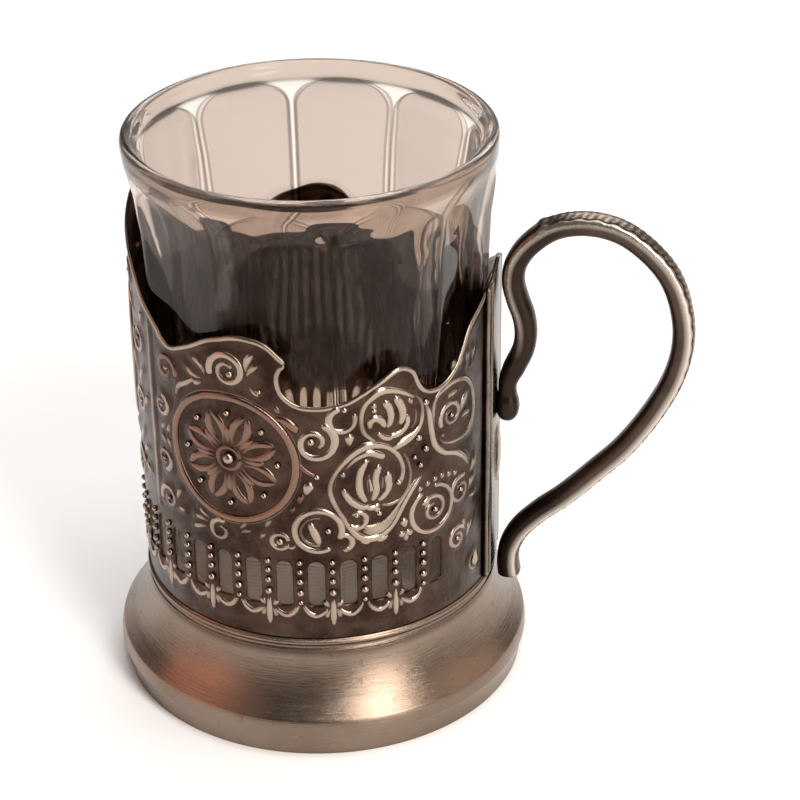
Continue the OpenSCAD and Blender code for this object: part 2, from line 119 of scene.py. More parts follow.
class Finish:
    """A material with a Principled shader, and the nodes that feed it."""

    def __init__(self, name, **constants):
        self.material = bpy.data.materials.new(name)
        self.material.use_nodes = True
        self.tree = self.material.node_tree
        self.shader = self.tree.nodes["Principled BSDF"]
        for socket, value in constants.items():
            self.shader.inputs[socket.replace("_", " ")].default_value = value

    def node(self, kind, settings=None, inputs=None, out=0):
        """Adds a node: its settings first, then the values or links of its sockets."""
        made = self.tree.nodes.new(kind)
        for key, value in (settings or {}).items():
            setattr(made, key, value)
        for key, value in (inputs or {}).items():
            self.plug(made.inputs[key], value)
        return Value(self, made.outputs[out])

    def plug(self, socket, value):
        """Links a Value to a socket, or sets the socket to a plain number."""
        if isinstance(value, Value):
            self.tree.links.new(value.socket, socket)
        else:
            socket.default_value = value

    def math(self, operation, left, right=0.0):
        return self.node("ShaderNodeMath", {"operation": operation}, {0: left, 1: right})

    def tint(self, factor, first, second):
        """A colour that runs from the first to the second as factor runs from 0 to 1."""
        return self.node("ShaderNodeMix", {"data_type": "RGBA"}, {0: factor, 6: first, 7: second}, 2)

    def step(self, value, low, high):
        """Runs smoothly from 0 to 1 as value goes from low to high."""
        return self.node("ShaderNodeMapRange", {"interpolation_type": "SMOOTHSTEP"},
            {0: value, 1: low, 2: high, 3: 0.0, 4: 1.0})

    def noise(self, vector, scale, detail=3.0, roughness=0.55):
        """A number about 0.5 that wanders from place to place. scale is per metre."""
        return self.node("ShaderNodeTexNoise", {},
            {"Vector": vector, "Scale": scale, "Detail": detail, "Roughness": roughness})

    def bump(self, height, depth, strength):
        """A normal that leans as the height does. depth is in metres."""
        return self.node("ShaderNodeBump", {}, {"Height": height, "Distance": depth, "Strength": strength})

    def attribute(self, name):
        """A number that the mesh keeps for each of its points."""
        return self.node("ShaderNodeAttribute", {"attribute_name": name}, {}, 2)

    def place(self):
        """Object coordinates, the distance from the glass's axis, and the angle round it."""
        where = self.node("ShaderNodeTexCoord", {}, {}, 3)
        parts = [self.node("ShaderNodeSeparateXYZ", {}, {0: where}, i) for i in range(3)]
        radius = self.math("SQRT", parts[0] * parts[0] + parts[1] * parts[1])
        return where, radius, self.math("ARCTAN2", parts[1], parts[0]), parts[2]

    def between(self, value, low, high):
        """A step on a value in metres, between two sizes in millimetres."""
        return self.step(value, low * MM, high * MM)

    def feed(self, **sockets):
        """Plugs values into the shader's sockets, and gives the finished material back."""
        for socket, value in sockets.items():
            self.plug(self.shader.inputs[socket.replace("_", " ")], value)
        return self.material


print("finish tools ready")

# %% [markdown]
# ## Old nickel
# The metal is satin nickel over brass. A brown-black patina stays in the low places, and hands
# have rubbed the high ones bright; the high ones are also painted lighter, a painted highlight,
# and the low ground darker, a painted shade. On the relief, how high a point stands is simply how
# far it is from the glass's axis, so the distance from the axis mixes the two colours. The sleeve's
# inside is barer metal, and paler still low down.

# %% The relief's metal
NICKEL = (0.058, 0.037, 0.027, 1)
RUBBED_AND_HIGHLIGHT = (0.36, 0.285, 0.225, 1)
PATINA = (0.014, 0.008, 0.006, 1)
STAIN_AND_RED_REFLECTION = (0.07, 0.042, 0.031, 1)
MEDAL_DARK_RED_REFLECTION = (0.078, 0.038, 0.027, 1)
MEDAL_TOP_RED_REFLECTION = (0.2, 0.122, 0.09, 1)
INSIDE = (0.34, 0.2, 0.15, 1)
LOW_INSIDE_PALE = (0.75, 0.64, 0.54, 1)
LOW_PALE_Z0 = 36
LOW_PALE_Z1 = 46


def relief_metal(name, low, high, shaded=False, middle=NICKEL, top=RUBBED_AND_HIGHLIGHT):
    """Patina and painted shade below the radius low, rubbed nickel and a painted highlight above high, both
    in millimetres.
    """
    finish = Finish(name, Metallic=1.0)
    where, radius, angle, z = finish.place()
    coarse = finish.noise(where, 190.0, 4.0)
    fine = finish.noise(where, 1400.0, 3.0)
    height = finish.between(radius + (coarse - 0.5) * (0.35 * MM), low, high)
    # Beside the ribs the ground is darkened: partly patina, partly painted shade.
    if shaded:
        height = height * (1 - finish.attribute("patina_and_shade"))
    # The stain's red-brown is partly stain and partly a painted red reflection of a warm room.
    stain = finish.step(coarse + (fine - 0.5) * 0.3, 0.3, 0.66)
    ground = finish.tint(0.2 + stain * 0.7, PATINA, STAIN_AND_RED_REFLECTION)
    # The rubbed tops are partly wear and partly a painted highlight; the ground is partly patina and partly
    # painted shade.
    face = finish.tint(height, middle, top)
    colour = finish.tint(height ** 0.8, ground, face)
    inside = 1 - finish.between(radius, SLEEVE_R - 0.5, SLEEVE_R - 0.2)
    # The inside is paler below a set height.
    deep_inside = finish.tint(finish.between(z, LOW_PALE_Z0, LOW_PALE_Z1), LOW_INSIDE_PALE, INSIDE)
    colour = finish.tint(inside * 0.9, colour, deep_inside)
    rough = 0.3 - 0.09 * height + (fine - 0.5) * 0.1
    normal = finish.bump(fine * 0.6 + coarse, 0.00016, 0.5)
    return finish.feed(Base_Color=colour, Roughness=rough, Normal=normal)


sheet_metal = relief_metal("sleeve_ground", SLEEVE_R - 0.1, SLEEVE_R + 0.38, True)
scroll_metal = relief_metal("sleeve_relief", SLEEVE_R - 0.02, SLEEVE_R + 0.46)
# The medallion's redder tones are a painted red reflection, laid over the metal's own tone.
medal_metal = relief_metal("medallion_relief", SLEEVE_R - 0.02, SLEEVE_R + 0.5,
    middle=MEDAL_DARK_RED_REFLECTION, top=MEDAL_TOP_RED_REFLECTION)
print("relief finishes made")

# %% [markdown]
# The foot was turned against a brush on the lathe, so its fine lines run round it. A noise that
# is stretched round the axis by reading radius, height and only a little of the angle gives
# those lines without a seam.

# %% The turned foot's metal
FOOT_TONE = (0.26, 0.196, 0.152, 1)
FOOT_DARK = (0.165, 0.116, 0.086, 1)
GROOVE_START = (17.8, 19.6)
GROOVE_END = (18.7, 21.2)


def turned_metal(name, tone, dark, rough):
    """Brushed metal with fine lines round the axis. Gives the finish and what feeds it."""
    finish = Finish(name, Metallic=1.0)
    where, radius, angle, z = finish.place()
    along = finish.node("ShaderNodeCombineXYZ", {}, {0: radius * 900.0, 1: z * 900.0, 2: angle * 1.3})
    lines = finish.noise(along, 3.4, 4.0, 0.7)
    broad = finish.noise(where, 46.0, 3.0)
    spots = finish.step(finish.noise(where, 420.0, 4.0, 0.7), 0.6, 0.76)
    worn = finish.step(broad, 0.36, 0.66)
    metal = finish.tint(worn * 0.5, tone, dark)
    colour = finish.tint(spots * 0.42, metal, PATINA)
    roughness = rough + (lines - 0.5) * 0.14 + spots * 0.2 + (1 - worn) * 0.05
    return finish, lines, colour, roughness, z


finish, lines, colour, roughness, z = turned_metal("foot_turned", FOOT_TONE, FOOT_DARK, 0.25)
neck_dark = (1 - finish.between(z, *GROOVE_END)) * finish.between(z, *GROOVE_START)
colour = finish.tint(neck_dark * 0.6, colour, PATINA)
foot_metal = finish.feed(Base_Color=colour, Roughness=roughness,
    Normal=finish.bump(lines, 0.00012, 0.55))
print("foot finish made")

# %% [markdown]
# ## Clear pressed glass
# The glass is a solid with a real outside and inside, so light bends twice, as it should. It has
# ten flat panels. Between two panels a narrow pillar stays round; the pillars are painted paler, a
# painted sheen, and their two edges are painted as thin dark lines, a painted shade. The brown tint
# of the glass is a painted reflection of a dim, warm room. The finish finds a panel's outline from
# the angle and the height, with the same formula that presses the panels later. The foot of the
# glass has fine rings, and its base is ground.
#
# A solid glass base mirrors everything inside itself, and from above it would turn the arcade's
# windows black. So the heel and the base let part of the light straight through, and the floor
# disc under the glass shows again. The mirror of the glass is weak, since the studio's floor is
# far brighter than a table.

# %% The glass
FLOOR_Z = span("tea_glass")[0].z
GLASS_TOP = span("tea_glass")[1].z
GLASS_H = GLASS_TOP - FLOOR_Z
RIM_R = 34.0
BASE_R = 29.5
GLASS_WALL = 2.2
PANELS = 10
PANEL_D = 1.5
PLAIN_BAND = 3.3
FADE = 5.5
HEEL_Z0 = 39.5
HEEL_Z1 = 41.5
BOWL_R0 = 28.1
BOWL_R1 = 28.7
WEAK_MIRROR = (0.3, 0.26, 0.23, 1)
PANEL_PAINTED_ROOM_TINT = (0.58, 0.475, 0.405, 1)
PILLAR_PAINTED_SHEEN = (0.9, 0.84, 0.77, 1)
EDGE_PAINTED_SHADE = (0.13, 0.09, 0.07, 1)

glass = Finish("pressed_glass", IOR=1.4, Specular_Tint=WEAK_MIRROR, Transmission_Weight=1.0)
where, radius, angle, z = glass.place()
sector = glass.math("FRACT", angle * (PANELS / (2 * math.pi)))
from_middle = glass.math("ABSOLUTE", sector - 0.5) * (2 * math.pi / PANELS)
fade_z = (GLASS_TOP - PLAIN_BAND - FADE) * MM
fading = glass.math("MINIMUM", glass.math("MAXIMUM", (z - fade_z) / (FADE * MM), 0.0), 1.0)
flat_half = glass.math("SQRT", (1 - fading * fading) * (2 * PANEL_D / RIM_R))
pillar = glass.step(from_middle - flat_half, 0.0, 0.012) * (1 - glass.step(fading, 0.85, 0.98))
line = 1 - glass.step(glass.math("ABSOLUTE", from_middle - flat_half + 0.004), 0.004, 0.016)
line = line * (1 - glass.step(fading, 0.93, 0.985))
heel = 1 - glass.between(z, HEEL_Z0, HEEL_Z1)
outside = glass.between(radius, BOWL_R0, BOWL_R1)
ground_base = 1 - glass.between(z, FLOOR_Z + 0.1, FLOOR_Z + 0.6)
bowl_face = heel * (1 - outside) * (1 - ground_base)
open_face = glass.math("MAXIMUM", heel * outside, ground_base)
rings = glass.math("SINE", z * 7600.0 + glass.noise(where, 150.0) * 9.0) * heel
# Painted: a brown tint for the room's reflection, a paler sheen on the pillars, and dark shade lines at their
# edges.
body = glass.tint(pillar, PANEL_PAINTED_ROOM_TINT, PILLAR_PAINTED_SHEEN)
body = glass.tint(line * 0.75, body, EDGE_PAINTED_SHADE)
clear_glass = glass.feed(Roughness=0.012 + ground_base * 0.5,
    Normal=glass.bump(rings * 0.5 + glass.noise(where, 70.0, 2.0), 0.0004, 0.35),
    Alpha=0.93 + bowl_face * 0.07 - open_face * 0.7 * (1 - 0.45 * (rings * 0.5 + 0.5)),
    Base_Color=body)
print("glass:", round(GLASS_H, 1), "mm high,", PANELS, "panels")

# %% [markdown]
# ## Helpers for new pieces
# A piece is made as a bmesh in millimetres, then written to an object at the origin, in metres.

# %% From a bmesh to a finished object
def finish_mesh(name, bm, material, body):
    """Scales the bmesh to metres, and makes the object that rides on a body."""
    bmesh.ops.scale(bm, vec=(MM, MM, MM), verts=bm.verts)
    mesh = bpy.data.meshes.new(name)
    bm.to_mesh(mesh)
    bm.free()
    return dress(name, mesh, material, body)


def dress(name, mesh, material, body):
    """Makes the object of a mesh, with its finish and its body."""
    mesh.name = name
    mesh.materials.clear()
    mesh.materials.append(material)
    mesh.polygons.foreach_set("use_smooth", [True] * len(mesh.polygons))
    piece = bpy.data.objects.new(name, mesh)
    bpy.context.scene.collection.objects.link(piece)
    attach(piece, body)
    print(name, len(mesh.polygons), "faces")
    return piece


def smooth_line(knots, steps):
    """A smooth curve through the knots, with some steps in each stretch."""
    knots = np.array(knots, float)
    ends = np.vstack([2 * knots[0] - knots[1], knots, 2 * knots[-1] - knots[-2]])
    points = []
    for i in range(len(knots) - 1):
        a, b, c, d = ends[i:i + 4]
        for t in np.arange(steps) / steps:
            points.append(0.5 * (2 * b + (c - a) * t + (2 * a - 5 * b + 4 * c - d) * t ** 2
                + (3 * b - a - 3 * c + d) * t ** 3))
    return np.array(points + [knots[-1]])


# %% [markdown]
# ## The sleeve's edge
# The edge is drawn once, from the seam behind the handle to the tall peak opposite it: degrees
# from the handle, and millimetres above the table. The other side is its mirror image. Beside
# the medallion the edge turns back under its own hump, so it can't be a simple height for each
# angle, and it is kept as a line of points.

# %% The edge's line
EDGE_KNOTS = [(0, 85.5), (6, 85), (10, 84), (14, 82.6), (18, 81.3), (22, 79.9), (25, 78.3), (27.7, 75.5),
    (30.5, 73), (33.4, 71.5), (36.2, 70.6), (39, 70.3), (41.8, 70.5), (44.3, 71.3), (46, 72.5),
    (47.1, 74), (48, 75.4), (49.5, 76.3), (51.5, 76.85), (53.5, 76.8), (55.8, 76.2), (58.6, 75.2),
    (64.2, 73.4), (69.8, 71.8), (75.4, 71.2), (78.2, 71.1), (81, 71.2), (83.8, 71.5), (86, 72.2),
    (88, 73.2), (89.4, 74.5), (90.1, 76.2), (90.0, 77.6), (89.2, 78.8), (87.6, 79.8)]
HUMP_KNOTS = [(87.4, 79.95), (89.6, 81.2), (92.2, 82.7), (95, 83.6), (98.6, 84), (101.4, 84.05),
    (104.2, 83.8), (107, 83.3), (112.6, 82.2), (118.2, 80.3), (123.8, 78.7), (126.6, 78), (129.4, 77.9),
    (132.2, 78.7), (135, 80.2), (139, 81.8), (143.9, 83.5), (147.2, 85.4), (154.4, 88.8), (166.4, 92.5),
    (180, PEAK_Z)]
valley_line = smooth_line(EDGE_KNOTS, 4)
hump_line = smooth_line(HUMP_KNOTS, 4)
half_edge = np.vstack([valley_line, hump_line])
whole_edge = np.vstack([half_edge, [[360 - a, z] for a, z in half_edge[::-1]]])
print("the edge's line has", len(whole_edge), "points")

# %% [markdown]
# ## How the relief is drawn
# Every scroll, stem, leaf lobe and ring on the sleeve is a rib with a round back that swells and
# tapers. So one drawing tool is enough: a line of points, each with its angle, its height and the
# rib's half width there. Blender's curves sweep such a line with a round section, and each rib
# is sunk into the sheet until only its back shows. The drawing is made on the left side of the
# handle, where angles are negative, and mirrored to the right.

# %% Drawing tools for ribs
ribs = []
knobs = []
RIB_STEP = 0.45
RISE = 1.2          # how far the metal stretches before it gives
FULLNESS = 1.38     # how much fuller the metal is than the drawn line


def rib(points, sink=0.45, mirrored=True):
    """A rib through (angle, height, half width) points. sink is the share of it in the sheet."""
    line = smooth_line(points, 6) * [1, 1, FULLNESS]
    for side in ((1, -1) if mirrored else (1,)):
        ribs.append((line * [side, 1, 1], sink))


def arc(a, z, r, start, sweep, w0, w1=None, squeeze=1.0, end_r=None, sink=0.45, mirrored=True):
    """A rib round a centre: from an angle in the drawing, through a sweep, both in degrees."""
    w1 = w0 if w1 is None else w1
    end_r = r if end_r is None else end_r
    if abs(sweep) == 360:
        sweep *= 1.03      # a ring's ends lie over each other
    count = max(6, int(abs(sweep) / 22))
    points = []
    for i in range(count + 1):
        t = i / count
        turn = math.radians(start + sweep * t)
        reach = r + (end_r - r) * t
        points.append((a + reach * math.cos(turn) * squeeze / DEGREE, z + reach * math.sin(turn),
            w0 + (w1 - w0) * t))
    rib(points, sink, mirrored)


def bud(a, z, r, mirrored=True):
    """A small round knob or pearl."""
    for side in ((1, -1) if mirrored else (1,)):
        knobs.append((a * side, z, r))


def lobe(a0, z0, a1, z1, w, bend=0.0, mirrored=True):
    """A leaf's lobe from its stem to its tip, widest past the middle, bent sideways."""
    run = np.array([(a1 - a0) * DEGREE, z1 - z0])
    side = np.array([-run[1], run[0]]) * bend
    points = []
    for t, width in ((0, 0.3), (0.3, 0.72), (0.62, 1.0), (0.86, 0.78), (1, 0.3)):
        shift = run * t + side * math.sin(math.pi * t)
        points.append((a0 + shift[0] / DEGREE, z0 + shift[1], w * width))
    rib(points, 0.5, mirrored)


def ray(a, z, near, far, turn, w, bend=0.0, mirrored=True):
    """A lobe that points away from a centre, from the distance near to the distance far."""
    c = math.cos(turn)
    s = math.sin(turn)
    lobe(a + near * c / DEGREE, z + near * s, a + far * c / DEGREE, z + far * s, w, bend, mirrored)


print("drawing tools ready, one degree is", round(DEGREE, 2), "mm")

# %% [markdown]
# ### Round the medallion
# A heavy ring with a thin line round it holds the medallion. Scrolls spring from it above,
# below and beside it.

# %% The medallion's ring and its neighbours
MEDAL_A = -106.3
MEDAL_Z = 59.3
MEDAL_R = 12.5
arc(MEDAL_A, MEDAL_Z, MEDAL_R, 90, 360, 0.56, sink=0.35)
arc(MEDAL_A, MEDAL_Z, MEDAL_R - 1.0, 90, 360, 0.2)
arc(MEDAL_A, MEDAL_Z, MEDAL_R + 0.95, 90, 360, 0.24)
arc(-105.6, 77.0, 3.7, 205, -545, 0.62, 0.34, end_r=1.0)
bud(-104.6, 76.5, 0.7)
lobe(-99.2, 77.2, -96.6, 81.4, 0.62, 0.15)
lobe(-99.4, 76.2, -95.2, 79.2, 0.5, 0.1)
lobe(-98.6, 75.2, -95.2, 72.8, 0.42, -0.1)
bud(-95.4, 73.9, 0.45)
lobe(-113.3, 74.6, -118.4, 77.9, 0.55, -0.2)
lobe(-113.8, 74.3, -120.9, 75.7, 0.5, 0.15)
lobe(-114.4, 73.8, -118.6, 73.2, 0.5, 0.2)
rib([(-117.5, 73.6, 0.35), (-121, 72.2, 0.5), (-124.6, 70.6, 0.42), (-126.2, 68.4, 0.25)])
arc(-130.4, 73.0, 2.9, -20, 420, 0.55, 0.3, end_r=0.8)
bud(-130.2, 73.1, 0.5)
arc(-110.6, 43.4, 2.35, 60, 420, 0.5, 0.32, end_r=0.75)
lobe(-113.8, 45.3, -118.6, 47.0, 0.5, 0.1)
lobe(-114.4, 44.2, -120.8, 44.6, 0.5, -0.1)
lobe(-114.2, 43.2, -121.6, 41.9, 0.5, -0.1)
lobe(-104.6, 44.6, -101.2, 46.9, 0.42, -0.1)
lobe(-104.2, 43.6, -99.4, 44.9, 0.42, 0.1)
print("ribs so far:", len(ribs))

# %% [markdown]
# ### Scrolls between the medallion and the circles
# A large scroll hangs from the edge between the medallion and the circles. Commas and drops
# follow the medallion's ring down to a closed curl over the arcade.

# %% Scrolls, commas and drops
arc(-79.3, 64.1, 4.0, 72, -500, 0.68, 0.36, end_r=1.0)
bud(-80.4, 64.4, 0.75)
rib([(-91.5, 68.9, 0.25), (-88.2, 68.6, 0.62), (-85.6, 67.4, 0.72), (-84.3, 66.0, 0.3)])
rib([(-91.4, 71.6, 0.2), (-90.2, 70.6, 0.46), (-89.3, 69.7, 0.2)])
rib([(-85.2, 60.6, 0.3), (-82.8, 58.7, 0.42), (-80.2, 57.6, 0.36), (-78.8, 57.0, 0.3)])
bud(-78.9, 57.2, 0.6)
lobe(-82.4, 53.2, -80.7, 56.3, 0.8, 0.05)
lobe(-84.6, 51.2, -83.2, 53.8, 0.55, 0.05)
lobe(-86.9, 49.3, -85.9, 51.2, 0.5, 0.05)
arc(-79.0, 45.8, 4.25, -28, 330, 0.55, 0.5)
arc(-79.4, 45.7, 2.9, 70, 215, 0.26, 0.36)
rib([(-81.7, 47.9, 0.35), (-80.6, 46.2, 0.62), (-79.4, 44.2, 0.6), (-78.6, 42.7, 0.32)])
bud(-75.9, 45.8, 0.62)
arc(-71.4, 43.1, 1.6, 130, -230, 0.5, 0.5)
bud(-70.2, 41.9, 0.55)
arc(-90.8, 43.4, 1.55, 0, 350, 0.42)
bud(-90.8, 43.4, 0.75)
rib([(-88.6, 42.6, 0.36), (-87.2, 42.2, 0.42), (-86.0, 43.0, 0.3)])
arc(-71.0, 68.5, 2.35, 92, 300, 0.62, 0.42)
bud(-70.2, 70.5, 0.6)
lobe(-68.8, 62.8, -69.0, 65.9, 0.72)
lobe(-95.4, 45.4, -92.9, 48.0, 0.4, 0.1)
lobe(-97.2, 43.0, -95.0, 45.0, 0.4, 0.1)
print("ribs so far:", len(ribs))

# %% [markdown]
# ### The two circles with their leaves, and the acanthus under them
# Two circles stand over each other, each a pair of stems that cross. Leaves fill them, and a wide
# low cushion under the leaves lifts the middle. An acanthus leaf bends round the lower one.

# %% Upper circle
rib([(-56.4, 61.9, 0.2), (-59.8, 62.4, 0.34), (-62.1, 63.8, 0.4), (-64.6, 65.6, 0.42), (-65.2, 68.2, 0.42),
    (-64.1, 70.8, 0.48), (-60.6, 72.8, 0.68), (-57.4, 73.2, 0.66), (-53.6, 72.5, 0.5), (-50.2, 71.3, 0.4),
    (-47.5, 70.1, 0.26)])
rib([(-47.9, 70.9, 0.22), (-45.6, 69.2, 0.34), (-44.9, 67.0, 0.38), (-45.7, 64.6, 0.46), (-48.4, 62.8, 0.62),
    (-51.6, 62.0, 0.74), (-54.4, 61.3, 0.6), (-55.8, 60.9, 0.24)])
rib([(-48.4, 69.4, 0.16), (-47.4, 67.4, 0.24), (-47.6, 65.3, 0.28), (-49.6, 63.9, 0.22)])
rib([(-62.6, 65.8, 0.3), (-62.4, 67.4, 0.56), (-60.8, 68.0, 0.66), (-58.9, 67.2, 0.6), (-57.6, 65.6, 0.4)])
rib([(-57.2, 65.4, 0.34), (-55.9, 67.2, 0.58), (-56.2, 69.2, 0.6), (-57.4, 70.6, 0.62), (-58.3, 71.3, 0.34)])
rib([(-52.9, 65.4, 0.4), (-51.9, 67.3, 0.62), (-52.4, 69.1, 0.66), (-53.8, 70.9, 0.62), (-54.8, 71.7, 0.32)])
rib([(-57.0, 63.9, 0.34), (-54.6, 63.7, 0.56), (-51.8, 64.5, 0.6), (-50.3, 66.0, 0.52), (-50.5, 67.6, 0.28)])
rib([(-60.4, 65.1, 0.3), (-58.4, 63.9, 0.48), (-56.4, 63.4, 0.52), (-54.6, 63.7, 0.3)])
rib([(-60.0, 66.4, 1.2), (-56.0, 66.8, 1.9), (-52.0, 67.4, 1.2)], 0.86)
lobe(-60.2, 69.4, -60.9, 71.2, 0.5, 0.2)
bud(-61.2, 69.6, 0.6)
lobe(-48.8, 68.6, -50.4, 70.4, 0.45, -0.2)
print("ribs so far:", len(ribs))

# %% [markdown]
# The lower circle is larger. Its outer stem starts as a thin line under the closed curl and ends
# in a knob, and a second thin stem crosses it on the right.

# %% Large circle
rib([(-68.6, 45.8, 0.2), (-71.0, 48.0, 0.4), (-73.9, 51.4, 0.42), (-75.1, 54.4, 0.4), (-74.0, 57.0, 0.4),
    (-71.3, 59.4, 0.46), (-67.4, 61.7, 0.66), (-63.6, 62.7, 0.74), (-59.8, 62.4, 0.6), (-56.6, 61.4, 0.46),
    (-53.6, 59.4, 0.42), (-52.0, 56.4, 0.42), (-53.0, 54.0, 0.48), (-53.9, 53.3, 0.3)])
bud(-53.6, 53.9, 0.66)
rib([(-70.6, 58.2, 0.2), (-67.0, 60.4, 0.5), (-63.2, 61.2, 0.62), (-60.0, 60.5, 0.66), (-58.0, 59.5, 0.5)])
rib([(-53.4, 60.9, 0.16), (-50.6, 58.2, 0.28), (-49.4, 55.0, 0.3), (-50.2, 52.4, 0.32), (-53.0, 50.3, 0.34),
    (-56.4, 49.6, 0.34), (-59.6, 50.0, 0.26)])
rib([(-73.2, 53.0, 0.16), (-73.6, 55.4, 0.24), (-72.6, 57.6, 0.22), (-71.4, 58.2, 0.16)])
rib([(-62.2, 50.1, 0.4), (-65.4, 50.2, 0.6), (-68.4, 51.5, 0.64), (-70.4, 53.3, 0.54), (-71.4, 54.7, 0.3)])
rib([(-64.0, 50.9, 0.4), (-65.9, 53.2, 0.6), (-66.2, 55.8, 0.58), (-65.4, 58.0, 0.6), (-63.8, 59.6, 0.5),
    (-62.8, 59.2, 0.26)])
rib([(-62.4, 51.0, 0.4), (-60.9, 53.0, 0.58), (-61.1, 55.4, 0.56), (-60.3, 57.6, 0.58), (-59.9, 58.7, 0.3)])
rib([(-60.4, 50.8, 0.4), (-58.4, 52.0, 0.6), (-56.8, 53.6, 0.58), (-57.1, 55.6, 0.6), (-56.8, 56.8, 0.32)])
rib([(-63.2, 52.4, 0.2), (-63.4, 54.8, 0.3), (-63.0, 57.2, 0.24)])
rib([(-59.2, 52.8, 0.2), (-58.8, 54.6, 0.28), (-59.0, 56.4, 0.2)])
rib([(-68.0, 53.6, 1.4), (-62.6, 54.6, 2.5), (-57.6, 54.6, 1.4)], 0.86)
lobe(-70.4, 56.4, -71.6, 58.0, 0.5)
rib([(-66.4, 50.8, 0.3), (-62.4, 49.6, 0.5), (-59.6, 50.4, 0.3)])
print("ribs so far:", len(ribs))

# %% [markdown]
# The acanthus leaf is a crescent of three stems over a long cushion. Its two lower lobes turn
# down to the arcade, and a small fleur stands to its right.

# %% The acanthus crescent, its curl and the fleur beside it
rib([(-44.7, 54.1, 0.16), (-47.2, 52.6, 0.4), (-49.9, 50.8, 0.5), (-52.4, 48.5, 0.5), (-54.6, 46.2, 0.5),
    (-57.6, 44.3, 0.56), (-61.6, 43.2, 0.66), (-65.9, 43.8, 0.66), (-69.4, 46.2, 0.5), (-72.4, 49.4, 0.3)])
rib([(-45.2, 54.0, 0.16), (-48.4, 52.8, 0.32), (-51.8, 50.6, 0.42), (-55.4, 48.0, 0.46), (-59.0, 46.2, 0.5),
    (-62.8, 45.6, 0.5), (-65.6, 45.9, 0.36)])
rib([(-46.0, 53.4, 0.12), (-49.6, 51.7, 0.26), (-53.4, 48.8, 0.3), (-56.6, 46.5, 0.34), (-60.4, 44.9, 0.36),
    (-64.2, 44.7, 0.3)])
rib([(-66.8, 46.2, 1.0), (-62.4, 44.9, 1.5), (-58.2, 45.6, 1.4), (-54.4, 48.2, 1.1), (-50.4, 51.2, 0.7)], 0.8)
rib([(-61.8, 43.2, 0.3), (-59.8, 42.9, 0.7), (-57.2, 43.6, 0.5)])
rib([(-66.9, 43.8, 0.3), (-64.4, 42.9, 0.7), (-62.4, 43.2, 0.3)])
arc(-66.9, 47.7, 1.9, 205, 300, 0.6, 0.4, end_r=1.3)
bud(-67.2, 48.6, 0.55)
rib([(-61.4, 50.4, 0.25), (-60.8, 49.3, 0.5), (-60.2, 48.4, 0.5)])
bud(-60.1, 48.3, 0.6)
lobe(-51.5, 43.4, -54.0, 42.4, 0.7, 0.15)
lobe(-51.4, 43.6, -52.1, 46.2, 0.7)
lobe(-51.2, 43.5, -48.6, 42.2, 0.65, -0.15)
lobe(-51.3, 43.2, -51.2, 40.7, 0.5)
for a, z, r in ((-46.5, 61.8, 0.72), (-43.8, 59.0, 0.68), (-47.9, 58.0, 0.48), (-45.8, 56.0, 0.55)):
    bud(a, z, r)
print("ribs so far:", len(ribs))

# %% [markdown]
# ### Beside the handle
# A shield-shaped cartouche with a scroll in it stands between the circles and the seam strip,
# over a large volute. The arcade stops there, and a small volute and a drop fill its place.

# %% The cartouche and the volutes beside the handle
bud(-43.8, 68.5, 0.7)
rib([(-44.0, 68.3, 0.3), (-42.4, 65.8, 0.5), (-41.6, 62.2, 0.55), (-40.2, 58.9, 0.55), (-36.6, 56.6, 0.5),
    (-31.4, 55.2, 0.5), (-27.2, 53.2, 0.45), (-24.4, 50.8, 0.3)])
rib([(-40.4, 60.6, 0.2), (-40.9, 64.2, 0.32), (-40.2, 67.9, 0.4), (-37.2, 69.4, 0.45), (-32.0, 70.0, 0.45),
    (-26.2, 69.2, 0.45), (-22.6, 66.0, 0.42), (-21.8, 61.6, 0.42), (-24.6, 58.2, 0.4), (-30.0, 57.6, 0.36),
    (-36.0, 58.4, 0.3), (-39.2, 60.4, 0.2)])
arc(-33.4, 63.6, 2.9, 220, -520, 0.5, 0.3, end_r=0.8)
bud(-33.2, 63.5, 0.5)
lobe(-29.0, 62.4, -25.2, 66.6, 0.6, 0.12)
lobe(-28.8, 61.6, -24.2, 62.2, 0.55, 0.1)
lobe(-35.6, 67.0, -30.2, 67.8, 0.5, 0.12)
lobe(-37.8, 60.9, -36.4, 59.6, 0.4)
arc(-41.2, 45.8, 4.75, 118, 330, 0.5, 0.42)
arc(-40.9, 45.6, 3.0, 150, -440, 0.46, 0.34, end_r=1.0)
bud(-40.2, 45.4, 0.62)
lobe(-44.6, 45.8, -43.2, 49.2, 0.5, -0.1)
for i in range(6):
    lobe(-46.4 + 2.9 * i, 50.0 + 0.9 * math.sin(math.pi * i / 5), -45.6 + 2.9 * i,
        51.6 + 1.0 * math.sin(math.pi * i / 5), 0.5)
arc(-28.8, 46.6, 3.0, 60, 470, 0.5, 0.3, end_r=0.9)
bud(-28.7, 46.6, 0.55)
lobe(-24.8, 44.6, -21.0, 47.8, 0.5, 0.12)
lobe(-25.0, 43.6, -20.4, 43.2, 0.5, 0.1)
lobe(-24.6, 48.6, -20.4, 51.6, 0.5, -0.1)
arc(-30.3, 36.5, 2.5, 30, 470, 0.5, 0.3, end_r=0.7)
bud(-30.3, 36.4, 0.5)
lobe(-25.6, 34.4, -21.8, 38.6, 0.5, 0.12)
lobe(-25.8, 36.6, -27.0, 40.2, 0.45, 0.1)
rib([(-20.2, 31.3, 0.2), (-20.3, 29.8, 0.55), (-20.4, 28.2, 0.8), (-20.4, 27.2, 0.5)], 0.4)
arc(-20.4, 28.6, 1.9, 60, 240, 0.3, 0.3)
for i in range(4):
    lobe(-33.0 + 3.4 * i, 72.4 - 0.3 * i, -31.0 + 3.4 * i, 74.2 + 0.2 * i, 0.45, 0.1)
print("ribs so far:", len(ribs))

# %% [markdown]
# ### Behind the medallion
# Small curls and leaves fill the stretch behind the medallion, and a raised line closes the
# side's ornament there.

